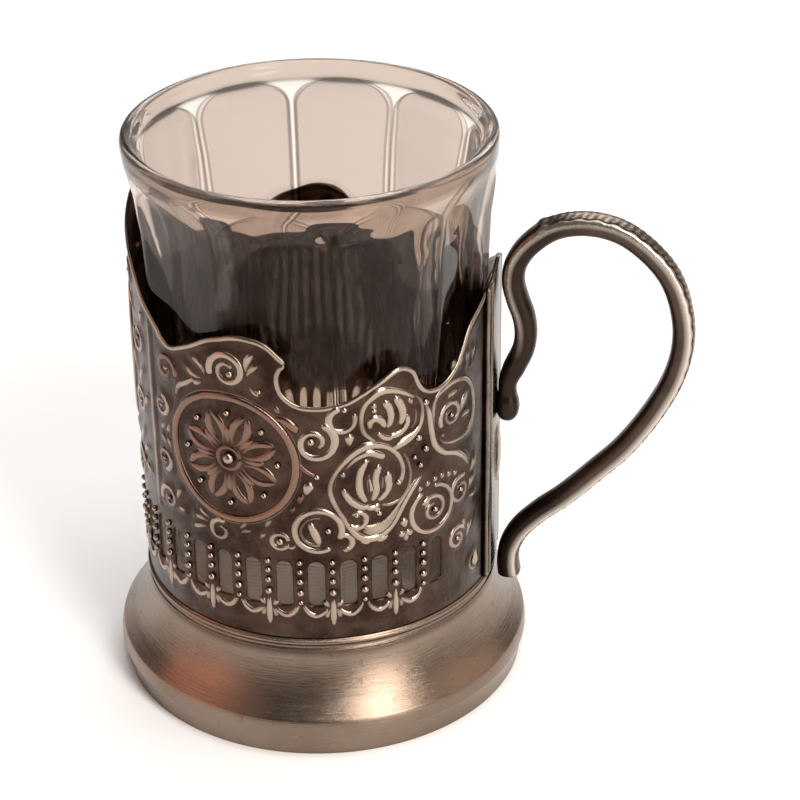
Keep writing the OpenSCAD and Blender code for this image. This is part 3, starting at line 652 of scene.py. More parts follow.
# %% Leaves behind the medallion
for z0, flip in ((64.6, 1), (53.4, -1)):
    arc(-134.0, z0, 2.3, 90 * flip, -430 * flip, 0.5, 0.3, end_r=0.7)
    bud(-134.0, z0, 0.45)
    lobe(-130.4, z0 - 2.6 * flip, -131.9, z0 - 5.2 * flip, 0.5, 0.1 * flip)
    lobe(-132.2, z0 - 3.0 * flip, -135.4, z0 - 5.0 * flip, 0.5, 0.1 * flip)
arc(-133.0, 45.2, 2.6, 210, -440, 0.5, 0.3, end_r=0.8)
bud(-133.0, 45.2, 0.5)
lobe(-128.8, 45.6, -126.0, 48.8, 0.5, 0.1)
lobe(-128.6, 44.0, -124.8, 44.4, 0.5, 0.1)
rib([(-139.9, 42.2, 0.3), (-139.9, 50, 0.42), (-139.9, 60, 0.42), (-139.9, 70, 0.42), (-139.9, 80.4, 0.3)])
print("ribs so far:", len(ribs))

# %% [markdown]
# ### The front panel
# The tall panel opposite the handle doesn't show in the photograph, so it holds what such holders
# often have: a plain oval frame with scrolls and a leaf crest under the peak.

# %% The front panel
PANEL_Z = 65.95
PANEL_H = 16.4
PANEL_W = 10.6
for share, width in ((1.0, 0.62), (0.9, 0.26)):
    arc(180, PANEL_Z, PANEL_H * share, 90, 360, width, squeeze=PANEL_W / PANEL_H, mirrored=False, sink=0.4)
arc(-156.4, 45.9, 3.6, 20, 470, 0.55, 0.32, end_r=0.9)
bud(-156.3, 45.9, 0.6)
arc(-150.4, 60.8, 2.7, 200, -480, 0.5, 0.3, end_r=0.8)
bud(-150.4, 60.8, 0.5)
arc(-149.8, 74.2, 3.1, 160, 480, 0.5, 0.3, end_r=0.9)
bud(-149.8, 74.2, 0.5)
arc(-161.0, 84.6, 2.6, -40, 450, 0.5, 0.3, end_r=0.8)
bud(-161.0, 84.6, 0.45)
PANEL_LEAVES = ((-153.0, 50.2, -149.6, 55.2), (-151.6, 49.2, -145.8, 52.0), (-150.6, 47.0, -144.8, 47.4),
    (-149.8, 64.6, -146.2, 68.6), (-146.6, 60.6, -143.4, 63.4), (-153.4, 66.4, -155.4, 70.4),
    (-154.6, 78.4, -157.8, 81.6), (-146.0, 78.0, -144.6, 80.6), (-164.0, 47.6, -166.6, 43.4),
    (-160.4, 51.4, -158.2, 55.0))
for ends in PANEL_LEAVES:
    lobe(*ends, 0.58, 0.1)
CREST_Z = 83.8
for i in range(5):
    ray(180, CREST_Z, 1.2, 7.2, math.radians(90 + 27 * (i - 2)), 0.75, mirrored=False)
bud(180, CREST_Z + 0.1, 0.9, mirrored=False)
for i in range(8):
    ray(180, PANEL_Z, 1.5, 5.6, math.radians(45 * i), 0.9, mirrored=False)
bud(180, PANEL_Z, 1.1, mirrored=False)
print("ribs so far:", len(ribs))

# %% [markdown]
# ### The rosette in the medallion
# The medallion holds a plain two-tier rosette: eight broad petals with smaller leaves between
# them and a ring of beads. Each petal is a pair of lobes that bend away from each other.

# %% The rosette
HEART_R = 2.6
for i in range(8):
    turn = math.radians(45 * i + 22.5)
    tip = math.radians(45 * i)
    ray(MEDAL_A, MEDAL_Z, HEART_R, 9.8, turn, 0.66, 0.2)
    ray(MEDAL_A, MEDAL_Z, HEART_R, 9.8, turn, 0.66, -0.2)
    ray(MEDAL_A, MEDAL_Z, HEART_R, 7.0, tip, 0.62)
    bud(MEDAL_A + 9.2 * math.cos(tip) / DEGREE, MEDAL_Z + 9.2 * math.sin(tip), 0.6)
arc(MEDAL_A, MEDAL_Z, 2.2, 0, 360, 0.42)
bud(MEDAL_A, MEDAL_Z, 1.15)
print("ribs in all:", len(ribs))

# %% [markdown]
# ### The pierced arcade
# Round-topped windows stand every ten degrees. Between two windows hangs a column of four
# pearls that grow downwards. Under every second column hangs a fleur, and swags run from it to
# both sides.

# %% Windows, swags and fleurs
WINDOWS = range(40, 321, 10)
COLUMNS = range(45, 316, 10)
WINDOW_W = 3.1
WINDOW_Z0 = 29.6
WINDOW_Z1 = 39.2
PEARLS = ((39.0, 0.58), (37.05, 0.62), (34.95, 0.68), (32.5, 0.74))     # heights and radii
for i, a in enumerate(COLUMNS):
    if i % 2 == 0:
        rib([(a, 31.2, 0.26), (a, 29.6, 0.4), (a, 27.6, 0.48), (a, 25.9, 0.36), (a, 25.0, 0.15)], 0.35, False)
        for side in (-1, 1):
            lobe(a + side * 0.4, 29.3, a + side * 2.0, 26.7, 0.46, 0.12 * side, False)
            lobe(a + side * 0.8, 29.2, a + side * 2.7, 31.0, 0.5, -0.1 * side, False)
            rib([(a + side * 1.6, 29.0, 0.3), (a + side * 3.4, 28.0, 0.45), (a + side * 5.6, 27.5, 0.5),
                (a + side * 7.8, 28.3, 0.45), (a + side * 9.4, 29.9, 0.3)], 0.4, False)
    else:
        bud(a, 30.4, 0.55, False)
print("ribs in all:", len(ribs))

# %% [markdown]
# ### From lines to metal
# One curve object holds all the ribs as splines. Its round bevel is scaled by each point's
# radius, which is the rib's half width. The ends are rounded off, and the curve becomes a mesh.

# %% Sweep the ribs
def wall_point(angle, z, out):
    """A point on the sleeve, in millimetres: degrees from the handle, height, distance outwards."""
    turn = math.radians(angle)
    return Vector(((SLEEVE_R + out) * math.cos(turn), (SLEEVE_R + out) * math.sin(turn), z))


def rounded_ends(widths, lengths):
    """Narrows both ends of a rib to a round tip."""
    out = []
    for w, s in zip(widths, lengths):
        gap = min(s, lengths[-1] - s) / max(w, 0.01)
        out.append(w * (1 if gap >= 1 else max(0.12, math.sqrt(1 - (1 - gap) ** 2))))
    return out


def resample(line, step):
    """The same line with points at about equal steps, and each point's distance along it."""
    flat = line[:, :2] * [DEGREE, 1]
    lengths = np.concatenate([[0], np.cumsum(np.linalg.norm(np.diff(flat, axis=0), axis=1))])
    count = max(4, int(lengths[-1] / step))
    at = np.linspace(0, lengths[-1], count + 1)
    at = np.sort(np.concatenate([at, [0.12 * step, lengths[-1] - 0.12 * step]]))
    return np.column_stack([np.interp(at, lengths, line[:, k]) for k in range(3)]), at


def press(depth):
    """How far out the metal stands where a round rib would rise by depth. The stamp rounds its
    flanks, and wide ribs are flatter."""
    if depth < 0:
        return max(-0.2, depth)
    rounded = depth * depth / (depth + 0.25)
    return RISE * (1 - math.exp(-rounded / RISE))


def sweep(name, lines, sides):
    """A mesh of ribs. Each line is (points, share of the rib that is sunk in the sheet).
    It is swept on the flat sheet, and then rolled with it."""
    data = bpy.data.curves.new(name, "CURVE")
    data.dimensions = "3D"
    data.bevel_depth = MM
    data.bevel_resolution = sides // 2 - 1
    data.use_fill_caps = True
    for line, sink in lines:
        points, at = resample(line, RIB_STEP)
        widths = rounded_ends(points[:, 2], at)
        spline = data.splines.new("POLY")
        spline.points.add(len(points) - 1)
        for point, (angle, z, _), w in zip(spline.points, points, widths):
            point.co = (angle * DEGREE * MM, z * MM, w * (1 - 2 * sink) * MM, 1)
            point.radius = w
    holder = bpy.data.objects.new(name, data)
    bpy.context.scene.collection.objects.link(holder)
    bpy.context.view_layer.update()
    mesh = bpy.data.meshes.new_from_object(holder.evaluated_get(bpy.context.evaluated_depsgraph_get()))
    bpy.data.objects.remove(holder)
    bpy.data.curves.remove(data)
    bm = bmesh.new()
    bm.from_mesh(mesh)
    bmesh.ops.remove_doubles(bm, verts=bm.verts, dist=0.004 * MM)
    for v in bm.verts:
        x, z, depth = v.co / MM
        v.co = wall_point(x / DEGREE, z, press(depth)) * MM
    bmesh.ops.recalc_face_normals(bm, faces=bm.faces)
    bm.to_mesh(mesh)
    bm.free()
    return mesh


def in_medallion(line):
    """Whether a rib starts within the medallion's ring."""
    return abs(abs(line[0, 0]) + MEDAL_A) < 23 and abs(line[0, 1] - MEDAL_Z) < MEDAL_R + 0.9


medal_ribs = [r for r in ribs if in_medallion(r[0])]
other_ribs = [r for r in ribs if not in_medallion(r[0])]
dress("sleeve_scrolls", sweep("sleeve_scrolls", other_ribs, 8), scroll_metal, "holder")
dress("medallions", sweep("medallions", medal_ribs, 8), medal_metal, "holder")

# %% [markdown]
# ### The rolled edge
# The sleeve's edge is rolled to a thin round bead, so that no sharp sheet is left. It is swept
# along the edge's line with the same tool.

# %% The rolled edge
EDGE_W = 0.52
edge_metal = relief_metal("sleeve_edge", SLEEVE_R - 0.2, SLEEVE_R + 0.35)
edge_lines = []
for part in (valley_line, hump_line):
    for side in (1, -1):
        line = np.column_stack([part[:, 0] * side, part[:, 1] - 0.3, np.full(len(part), EDGE_W)])
        edge_lines.append((line, 0.5))
dress("sleeve_edge", sweep("sleeve_edge", edge_lines, 10), edge_metal, "holder")

# %% [markdown]
# ### Pearls and knobs
# Each pearl is a small ball that is sunk half into the sheet. An icosphere with few faces is
# enough for something as small as this.

# %% Pearls and knobs
for a in COLUMNS:
    for z, r in PEARLS:
        bud(a, z, r, False)
bm = bmesh.new()
for a, z, r in knobs:
    place = Matrix.Translation(wall_point(a, z, 0.1)) @ Matrix.Scale(r, 4)
    bmesh.ops.create_icosphere(bm, subdivisions=2, radius=1, matrix=place)
finish_mesh("pearls", bm, scroll_metal, "holder")

# %% [markdown]
# ## The sleeve's sheet
# The sheet is a flat grid first, as the sheet metal was before it was rolled. The cells above the
# edge and in the windows are deleted, and the points along the cuts are moved onto the true
# outline. Extruding the grid gives the wall its thickness, and each point is then moved to the
# tube. Near a rib the sheet swells a little, as stamped metal does.

# %% The flat outline
WINDOW_SHAPE = [(WINDOW_W / 2 * math.cos(math.radians(t)),
    WINDOW_Z1 - WINDOW_W / 2 + WINDOW_W / 2 * math.sin(math.radians(t))) for t in range(0, 181, 12)]
WINDOW_SHAPE += [(-WINDOW_W / 2, WINDOW_Z0 + 0.4), (-WINDOW_W / 3, WINDOW_Z0), (WINDOW_W / 3, WINDOW_Z0),
    (WINDOW_W / 2, WINDOW_Z0 + 0.4)]
flat_edge = whole_edge * [DEGREE, 1]
outline = np.vstack([[[0, SLEEVE_Z0 - 5]], flat_edge, [[360 * DEGREE, SLEEVE_Z0 - 5]]])


def in_polygon(points, polygon):
    """Which points lie in the polygon, by counting the sides that a ray crosses."""
    within = np.zeros(len(points), bool)
    x, y = points[:, 0], points[:, 1]
    for (x0, y0), (x1, y1) in zip(polygon, np.roll(polygon, -1, axis=0)):
        if y0 != y1:
            crosses = (y0 > y) != (y1 > y)
            within ^= crosses & (x < (x1 - x0) * (y - y0) / (y1 - y0) + x0)
    return within


def nearest_on(line, point):
    """The point of a line that is nearest to a point."""
    start, end = line[:-1], line[1:]
    run = end - start
    along = np.clip(((point - start) * run).sum(1) / np.maximum((run ** 2).sum(1), 1e-9), 0, 1)
    nearest = start + run * along[:, None]
    away = ((nearest - point) ** 2).sum(1)
    return nearest[away.argmin()], away.min()


print("outline points:", len(outline), "and", len(WINDOW_SHAPE), "for a window")

# %% [markdown]
# ### Cutting the flat grid
# The grid is the sheet laid flat: its x runs round the sleeve and its y is the height. A cell is
# kept when its middle lies in the outline and in no window.

# %% Cut the flat grid
CELL = 0.5
round_cells = round(360 * DEGREE / CELL)
high_cells = round((PEAK_Z - SLEEVE_Z0) / CELL)
bm = bmesh.new()
patina_and_shade = bm.verts.layers.float.new("patina_and_shade")
bmesh.ops.create_grid(bm, x_segments=round_cells, y_segments=high_cells, size=0.5)
bmesh.ops.translate(bm, vec=(0.5, 0.5, 0), verts=bm.verts)
bmesh.ops.scale(bm, vec=(360 * DEGREE, PEAK_Z - SLEEVE_Z0, 1), verts=bm.verts)
bmesh.ops.translate(bm, vec=(0, SLEEVE_Z0, 0), verts=bm.verts)
window_lines = [np.array(WINDOW_SHAPE + WINDOW_SHAPE[:1]) + [a * DEGREE, 0] for a in WINDOWS]
faces = list(bm.faces)
centres = np.array([f.calc_center_median()[:2] for f in faces])
keep = in_polygon(centres, outline)
for line in window_lines:
    near = (abs(centres[:, 0] - line[:, 0].mean()) < WINDOW_W) & (centres[:, 1] < WINDOW_Z1 + 1)
    keep[near] &= ~in_polygon(centres[near], line[:-1])
bmesh.ops.delete(bm, geom=[f for f, k in zip(faces, keep) if not k], context="FACES")
for v in bm.verts:
    on_cut = v.is_boundary and v.co.y > SLEEVE_Z0 + 0.1 and 0.1 < v.co.x < 360 * DEGREE - 0.1
    if on_cut:
        point = np.array(v.co[:2])
        lines = [flat_edge] if point[1] > WINDOW_Z1 + 5 else window_lines
        nearest, _ = min((nearest_on(line, point) for line in lines), key=lambda found: found[1])
        v.co.x, v.co.y = nearest
print("sheet cells kept:", len(bm.faces))

# %% [markdown]
# ### Wall, relief and roll
# The extruded copy of the grid becomes the outside, and is marked by a height of 1 until it is
# rolled. A search tree of points along the ribs tells each point of the sheet how near a rib is.
# Near one the outside swells, the inside is hollow, and the ground is darker: patina stays there, and shade
# is painted at the rib's foot.

# %% Give the sheet its wall, and roll it
bmesh.ops.recalc_face_normals(bm, faces=bm.faces)
grown = bmesh.ops.extrude_face_region(bm, geom=list(bm.faces), use_keep_orig=True)
outer = {g for g in grown["geom"] if isinstance(g, bmesh.types.BMVert)}
for v in outer:
    v.co.z = 1
rib_points = []
for line, _ in ribs + edge_lines:
    points, _ = resample(line, 0.3)
    for a, z, w in points:
        rib_points.append(((a % 360) * DEGREE, z, w))
tree = KDTree(len(rib_points))
for i, (x, z, w) in enumerate(rib_points):
    tree.insert((x, z, 0), i)
tree.balance()
SWELL = 0.2
HOLLOW = 0.32
SWELL_REACH = 0.75
# The shade reach sets how far painted shade and patina spread from each rib.
SHADE_REACH = 2.2
rises = {}
for v in outer:
    x, z, _ = v.co
    gap = min(away - rib_points[i][2] for _, i, away in tree.find_n((x, z, 0), 3))
    near = min(1, max(0, 1 - gap / SWELL_REACH))
    shade = min(1, max(0, (SHADE_REACH - gap) / 2.0)) * 0.9
    rises[(round(x, 3), round(z, 3))] = (near * near * (3 - 2 * near), shade)
seam_walls = [f for f in bm.faces if all(v.co.x < 0.01 for v in f.verts)
    or all(v.co.x > 360 * DEGREE - 0.01 for v in f.verts)]
bmesh.ops.delete(bm, geom=seam_walls, context="FACES_ONLY")
for v in bm.verts:
    x, z, out = v.co
    near, shade = rises[(round(x, 3), round(z, 3))]
    turn = x / DEGREE
    reach = SLEEVE_R - 0.02 + SWELL * near if out else INNER_R + HOLLOW * near
    v[patina_and_shade] = shade
    v.co = Vector((reach * math.cos(math.radians(turn)), reach * math.sin(math.radians(turn)), z))
bmesh.ops.remove_doubles(bm, verts=bm.verts, dist=0.01)
bmesh.ops.recalc_face_normals(bm, faces=bm.faces)
sheet = finish_mesh("sleeve_sheet", bm, sheet_metal, "holder")
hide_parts("sleeve")

# %% [markdown]
# ## The foot
# The foot was spun on a lathe, so it is made the same way here: its section is drawn from the
# table up, and spun round the axis. The outside is a rolled rim, a hollow flare and a neck with
# two fine beads. The inside follows it at the sheet's thickness.

# %% The spun foot
def bow(a, b, c, count):
    """A quadratic curve from a to c, pulled towards b."""
    a, b, c = (np.array(p, float) for p in (a, b, c))
    return [(1 - t) ** 2 * a + 2 * t * (1 - t) * b + t * t * c for t in np.linspace(0, 1, count + 1)]


def spun(profile, steps, closed):
    """A bmesh of a section of (radius, height) points, spun round the axis."""
    bm = bmesh.new()
    verts = [bm.verts.new((r, 0, z)) for r, z in profile]
    edges = [bm.edges.new(pair) for pair in zip(verts, verts[1:])]
    if closed:
        edges.append(bm.edges.new((verts[-1], verts[0])))
    bmesh.ops.spin(bm, geom=verts + edges, cent=(0, 0, 0), axis=(0, 0, 1), angle=2 * math.pi,
        steps=steps, use_merge=True)
    bmesh.ops.remove_doubles(bm, verts=bm.verts, dist=0.0005)
    return bm


def half_round(r, z, reach, rise, count):
    """Points of a half-round bead on a wall of radius r."""
    turns = [math.radians(-90 + 180 * i / count) for i in range(count + 1)]
    return [np.array([r + reach * math.cos(t), z + rise * math.sin(t)]) for t in turns]


SHOULDER_Z = SLEEVE_Z0 - 0.05
NECK_R = SLEEVE_R + 0.15
WIDE = (FOOT_R, 5)
FOOT_WALL = 0.9
LEDGE_R = 28
RING_R = 37.6
band = bow((39.2, 0), (39.36, 2.6), WIDE, 14)
rim = bow(WIDE, (FOOT_R - 0.05, 6.9), (39.75, 7.75), 12)
flare = list(smooth_line([(39.6, 7.92), (38.6, 9.1), (37.2, 10.9), (35.95, 13.1), (35.0, 15.3), (34.35, 17.4),
    (NECK_R, 19.4)], 5))
neck = half_round(NECK_R - 0.05, 19.75, 0.22, 0.26, 10) + half_round(NECK_R - 0.05, 21.45, 0.36, 0.46, 10)
outside = band + rim[1:] + flare + neck + [np.array([NECK_R, SHOULDER_Z])]
inside = [p - [FOOT_WALL, 0] for p in (flare[::-1][2:] + rim[::-1] + band[::-1][:-3])]
ledge = [(INNER_R - 0.05, SHOULDER_Z), (INNER_R - 0.05, SHOULDER_Z + 0.9), (LEDGE_R, SHOULDER_Z + 0.9),
    (LEDGE_R, SHOULDER_Z + 0.05), (NECK_R - FOOT_WALL, SHOULDER_Z + 0.05)]
ring = [(RING_R, 1.1), (RING_R, 0)]
profile = [tuple(p) for p in outside] + ledge + [tuple(p) for p in inside] + ring
bm = spun(profile, 256, closed=True)
bmesh.ops.recalc_face_normals(bm, faces=bm.faces)
foot = finish_mesh("spun_foot", bm, foot_metal, "holder")
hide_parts("foot")

# %% [markdown]
# ### The floor disc
# The disc that the glass stands on is a plain plate, so it keeps its imported shape and only gets a
# finish: turned metal like the foot's, but pale and dull.

# %% The floor disc keeps its imported shape
DISC_TONE = (0.92, 0.86, 0.78, 1)
DISC_DARK = (0.8, 0.72, 0.64, 1)
finish, lines, colour, roughness, _ = turned_metal("disc_turned", DISC_TONE, DISC_DARK, 0.7)
disc_metal = finish.feed(Base_Color=colour, Roughness=roughness, Normal=finish.bump(lines, 0.0001, 0.5))
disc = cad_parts["floor_disc"]
disc.data.materials.clear()
disc.data.materials.append(disc_metal)
print("floor disc finished:", disc.name)

# %% [markdown]
# ## The strip over the seam
# A narrow band covers the sleeve's seam behind the handle. It has a raised line along each side,
# a pointed top and an oval boss. A grid is bent to the sleeve's curve, and its copy outside
# carries the relief as a height.

# %% The seam strip
STRIP_R = SLEEVE_R + 0.65
STRIP_HALF = 8.0
STRIP_SIDE_Z = 83.5
STRIP_TOP_Z = 86.5
STRIP_LINES = (7.45, 5.6)
LINE_RISE = 0.3
LINE_W = 0.36
BOSS_Z = 45.5
BOSS_W = 2.2
BOSS_H = 6
BOSS_RISE = 0.8
strip_metal = relief_metal("seam_strip", STRIP_R - 0.4, STRIP_R + 0.5)
bm = bmesh.new()
bmesh.ops.create_grid(bm, x_segments=48, y_segments=120, size=0.5)
for v in bm.verts:
    across = v.co.x * 2 * STRIP_HALF
    up = v.co.y + 0.5
    top = STRIP_SIDE_Z + (STRIP_TOP_Z - STRIP_SIDE_Z) * (1 - abs(across) / STRIP_HALF)
    v.co = Vector((across, SLEEVE_Z0 + up * (top - SLEEVE_Z0), 0))
grown = bmesh.ops.extrude_face_region(bm, geom=list(bm.faces), use_keep_orig=True)
for v in (g for g in grown["geom"] if isinstance(g, bmesh.types.BMVert)):
    v.co.z = 1
for v in bm.verts:
    across, z, out = v.co
    turn = math.asin(across / STRIP_R)
    line = sum(LINE_RISE * math.exp(-((abs(across) - at) / LINE_W) ** 2) for at in STRIP_LINES)
    boss = max(0, 1 - (across / BOSS_W) ** 2 - ((z - BOSS_Z) / BOSS_H) ** 2)
    reach = STRIP_R + line + BOSS_RISE * math.sqrt(boss) if out else SLEEVE_R + 0.05
    v.co = Vector((reach * math.cos(turn), reach * math.sin(turn), z))
bmesh.ops.recalc_face_normals(bm, faces=bm.faces)
strip = finish_mesh("seam_band", bm, strip_metal, "holder")
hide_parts("seam_strip")

# %% [markdown]
# ## The handle
# The handle is one cast bar. A grid is rolled into a tube along the handle's line, with a round
# inner side and a flatter outer face that carries a chased leaf pattern.

# %% The handle's line
HANDLE_KNOTS = [(36.5, 52.6), (36.4, 55.5), (36.3, 58.5), (36.5, 61.5), (37.8, 64.8), (39.1, 68),
    (39.55, 71.4), (39.1, 74.9), (37.9, 78.4), (37.1, 81.8), (37.55, 85.6), (40.0, 89.5), (44.6, 93.0),
    (50.3, 94.1), (56, 93), (60.9, 89.8), (65, 85.2), (67.4, 79.6), (68.4, 72.6), (67.2, 65),
    (63.6, 56.9), (58.5, 49), (53.3, 43.2), (47.6, 37.3), (43, 33.3), (39.4, 29.4), (37.4, 25.5),
    (36.9, 22.0), (37.2, 18.4)]
handle_line = smooth_line(HANDLE_KNOTS, 12)
steps = np.linalg.norm(np.diff(handle_line, axis=0), axis=1)
handle_run = np.concatenate([[0], np.cumsum(steps)])
HANDLE_LENGTH = handle_run[-1]
HANDLE_DEEP = 4.2
HANDLE_WIDE = 4.8
BALL = ((0, 0.05), (0.3, 0.42), (0.9, 0.72), (1.8, 0.95), (3.1, 1.06), (4.6, 1.0), (6.0, 0.84), (7.2, 0.8),
    (9, 0.88), (11.5, 1.0))
TAIL = ((0, 0.05), (0.05, 0.9), (0.5, 1.06), (2.0, 1.04), (5.0, 1.0))
print("the handle's line is", round(HANDLE_LENGTH, 1), "mm long")


def girth(s):
    """The bar's girth at a distance along it: a ball, a neck, the full bar and a round tail."""
    return np.interp(s, *zip(*BALL)) * np.interp(HANDLE_LENGTH - s, *zip(*TAIL))


def bar_place(s):
    """The middle of the bar at a distance along it: the distance from the axis, and the height."""
    return np.array([np.interp(s, handle_run, handle_line[:, k]) for k in (0, 1)])


# %% [markdown]
# ### The chased leaf
# The leaf pattern is a height that depends on the distance along the bar and the place across
# its outer face. A small hump marks the leaf's tip, near the top of the arch. Behind it a
# midrib, slanted veins and a scalloped border fade in.

# %% The leaf as a height
LEAF_START = 42.0
LEAF_END = HANDLE_LENGTH - 3
LEAF_TIP = 0.35
SCALLOP = 3.1       # from one scallop of the border to the next
VEIN = 1.3          # from one vein to the next


def chased(s, across):
    """How deep the outer face is chased: s along the bar, across from -1 to 1 over the face."""
    if s < LEAF_START - 2 or s > LEAF_END or abs(across) > 1:
        return 0
    fade = max(0, min(1, (s - LEAF_START) / 3, (LEAF_END - s) / 6))
    wide = 0.76 + 0.07 * math.sin(2 * math.pi * s / SCALLOP)
    edge = math.exp(-((abs(across) - wide) / 0.1) ** 2)
    vein = 0.5 + 0.5 * math.cos(2 * math.pi * (s / VEIN + 0.8 * abs(across)))
    inside = max(0, min(1, (wide - abs(across)) / 0.15))
    midrib = math.exp(-(across / 0.14) ** 2)
    tip = LEAF_TIP * math.exp(-((s - LEAF_START - 0.6) / 0.9) ** 2)
    return fade * (-0.15 * edge - 0.1 * inside * vein + 0.06 * midrib) + tip


print("the leaf starts", LEAF_START, "mm along the bar")

# %% [markdown]
# ### Rolling the bar
# A flat grid is long enough for the bar and goes once round it. Each point is moved to its place
# on the section, which is squarer on its outer side. Three attributes tell the finish where the
# metal is cut in, where the ridges run that are worn and painted with a highlight, and where the outer face
# is.

# %% Roll the handle
bm = bmesh.new()
hollow = bm.verts.layers.float.new("hollow")
bevel = bm.verts.layers.float.new("bevel")
face = bm.verts.layers.float.new("face")
RINGS = 620
SIDES = 48
bmesh.ops.create_grid(bm, x_segments=RINGS, y_segments=SIDES, size=0.5)
for v in bm.verts:
    s = (v.co.x + 0.5) * HANDLE_LENGTH
    x, z = bar_place(s)
    ahead, up = bar_place(min(HANDLE_LENGTH, s + 0.3)) - bar_place(max(0, s - 0.3))
    run = Vector((ahead, 0, up)).normalized()
    out = Vector((run.z, 0, -run.x)) * -1
    turn = 2 * math.pi * (v.co.y + 0.5)
    c = math.cos(turn)
    d = math.sin(turn)
    deep = HANDLE_DEEP / 2 * math.copysign(abs(c) ** (0.6 if c > 0 else 1.0), c)
    wide = HANDLE_WIDE / 2 * math.copysign(abs(d) ** 0.75, d)
    g = girth(s)
    across = wide / (HANDLE_WIDE / 2) if c > 0 else 2
    cut = chased(s, across / 0.92)
    v[hollow] = min(1, max(0, -cut / 0.14))
    v[bevel] = math.exp(-((abs(across) - 0.93) / 0.07) ** 2) * min(1, max(0, (s - 14) / 10))
    v[face] = min(1, max(0, (0.95 - abs(across)) / 0.1)) * min(1, max(0, (s - 10) / 12))
    v.co = Vector((x, 0, z)) + out * (deep * g + cut) + Vector((0, wide * g, 0))
bmesh.ops.remove_doubles(bm, verts=bm.verts, dist=0.02)
rims = [e for e in bm.edges if e.is_boundary]
bmesh.ops.holes_fill(bm, edges=rims, sides=0)
bmesh.ops.recalc_face_normals(bm, faces=bm.faces)
print("handle rolled:", len(bm.faces), "faces,", len(rims), "edges at its two ends closed")

# %% [markdown]
# ### The handle's finish
# Fingers keep the outer face and its ridges bright, and both are also painted lighter, a painted highlight.
# The cut lines stay dark with patina.
# The stretch close to the sleeve is darker too: patina where no finger rubs, and painted shade.

# %% The handle's metal
HANDLE_TONE = (0.1, 0.074, 0.058, 1)
HANDLE_DARK = (0.045, 0.031, 0.024, 1)
RIDGE_WEAR_AND_HIGHLIGHT = (0.62, 0.55, 0.48, 1)
NEAR_R0 = 43.5
NEAR_R1 = 50.5
handle_finish = Finish("handle_cast", Metallic=1.0)
where, radius, angle, z = handle_finish.place()
coarse = handle_finish.noise(where, 170.0, 4.0)
fine = handle_finish.noise(where, 1300.0, 3.0)
chasing = handle_finish.attribute("hollow")
dark = handle_finish.math("MINIMUM", chasing + handle_finish.step(coarse, 0.5, 0.8) * 0.35, 1.0)
worn = handle_finish.attribute("bevel")
colour = handle_finish.tint(coarse, HANDLE_TONE, HANDLE_DARK)
colour = handle_finish.tint(handle_finish.attribute("face") * 0.8, colour, RUBBED_AND_HIGHLIGHT)
# Darker close to the sleeve: partly patina, partly painted shade.
near_sleeve_patina_and_shade = 1 - handle_finish.between(radius, NEAR_R0, NEAR_R1)
colour = handle_finish.tint(near_sleeve_patina_and_shade * 0.72, colour, PATINA)
colour = handle_finish.tint(dark, colour, PATINA)
# The ridges are partly worn bright and partly a painted highlight.
colour = handle_finish.tint(worn * 0.9, colour, RIDGE_WEAR_AND_HIGHLIGHT)
rough = 0.32 + 0.2 * dark - worn * 0.1 + (fine - 0.5) * 0.12
normal = handle_finish.bump(coarse + fine * 0.5, 0.0002, 0.5)
handle_metal = handle_finish.feed(Base_Color=colour, Roughness=rough, Normal=normal)
handle = finish_mesh("cast_handle", bm, handle_metal, "holder")
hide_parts("handle")

# %% [markdown]
# ## The glass
# The glass's section is spun like the foot's: heel, outer wall, rounded lip, inner wall and bowl.
# Its outer wall is then pressed flat in ten panels. Under the round rim each panel fades out in
# an arch. Where a flat meets the round wall, a tiny blend softens the ridge.

# %% The pressed glass
WAIST_R = INNER_R - 0.3
WAIST_SHARE = 0.828
RIM_BEAD = 1.0
BEAD_DROP = 2.3
BASE_THICK = 8.0
RIDGE_BLEND = 0.03


def skin(share):
    """Outer radius at a share of the glass's height."""
    if share < WAIST_SHARE:
        return BASE_R + (WAIST_R - BASE_R) * (share / WAIST_SHARE) ** 0.8
    return WAIST_R + (RIM_R - WAIST_R) * (1 - (1 - (share - WAIST_SHARE) / (1 - WAIST_SHARE)) ** 2.2)


def panel_depth(z):
    """How far a panel's middle lies inside the round wall at a height above the glass's base."""
    top = GLASS_H - PLAIN_BAND
    if z > top:
        return 0
    t = min(1, max(0, (z - (top - FADE)) / FADE))
    return PANEL_D * (1 - t * t)


lip = GLASS_WALL / 2
outer_wall = [(skin(s), s * GLASS_H) for s in np.linspace(0.03, 0.98, 72)]
heel = [(0, 0), (BASE_R - 3.2, 0)] + [tuple(p) for p in bow((BASE_R - 2.4, 0), (BASE_R - 0.3, 0.2),
    (skin(0.028), 0.028 * GLASS_H), 5)]
lip_arc = [(RIM_R - lip + lip * math.cos(math.radians(a)), GLASS_H - lip + lip * math.sin(math.radians(a)))
    for a in range(12, 169, 12)]
inner_wall = []
for s in np.concatenate([np.linspace(0.985, 0.9, 16), np.linspace(0.88, 0.2, 26)]):
    thick = GLASS_WALL + PANEL_D * min(1, max(0, (0.94 - s) / 0.2))
    thick += RIM_BEAD * math.exp(-(((1 - s) * GLASS_H - BEAD_DROP) / 1.5) ** 2)
    inner_wall.append((skin(s) - thick, s * GLASS_H))
floor_r = inner_wall[-1][0]
bowl = bow(inner_wall[-1], (floor_r - 0.8, BASE_THICK + 0.4), (floor_r - 7, BASE_THICK), 8)[1:]
profile = heel + outer_wall + lip_arc + inner_wall + [tuple(p) for p in bowl] + [(0, BASE_THICK)]
bm = spun([(r, z + FLOOR_Z) for r, z in profile], 300, closed=False)
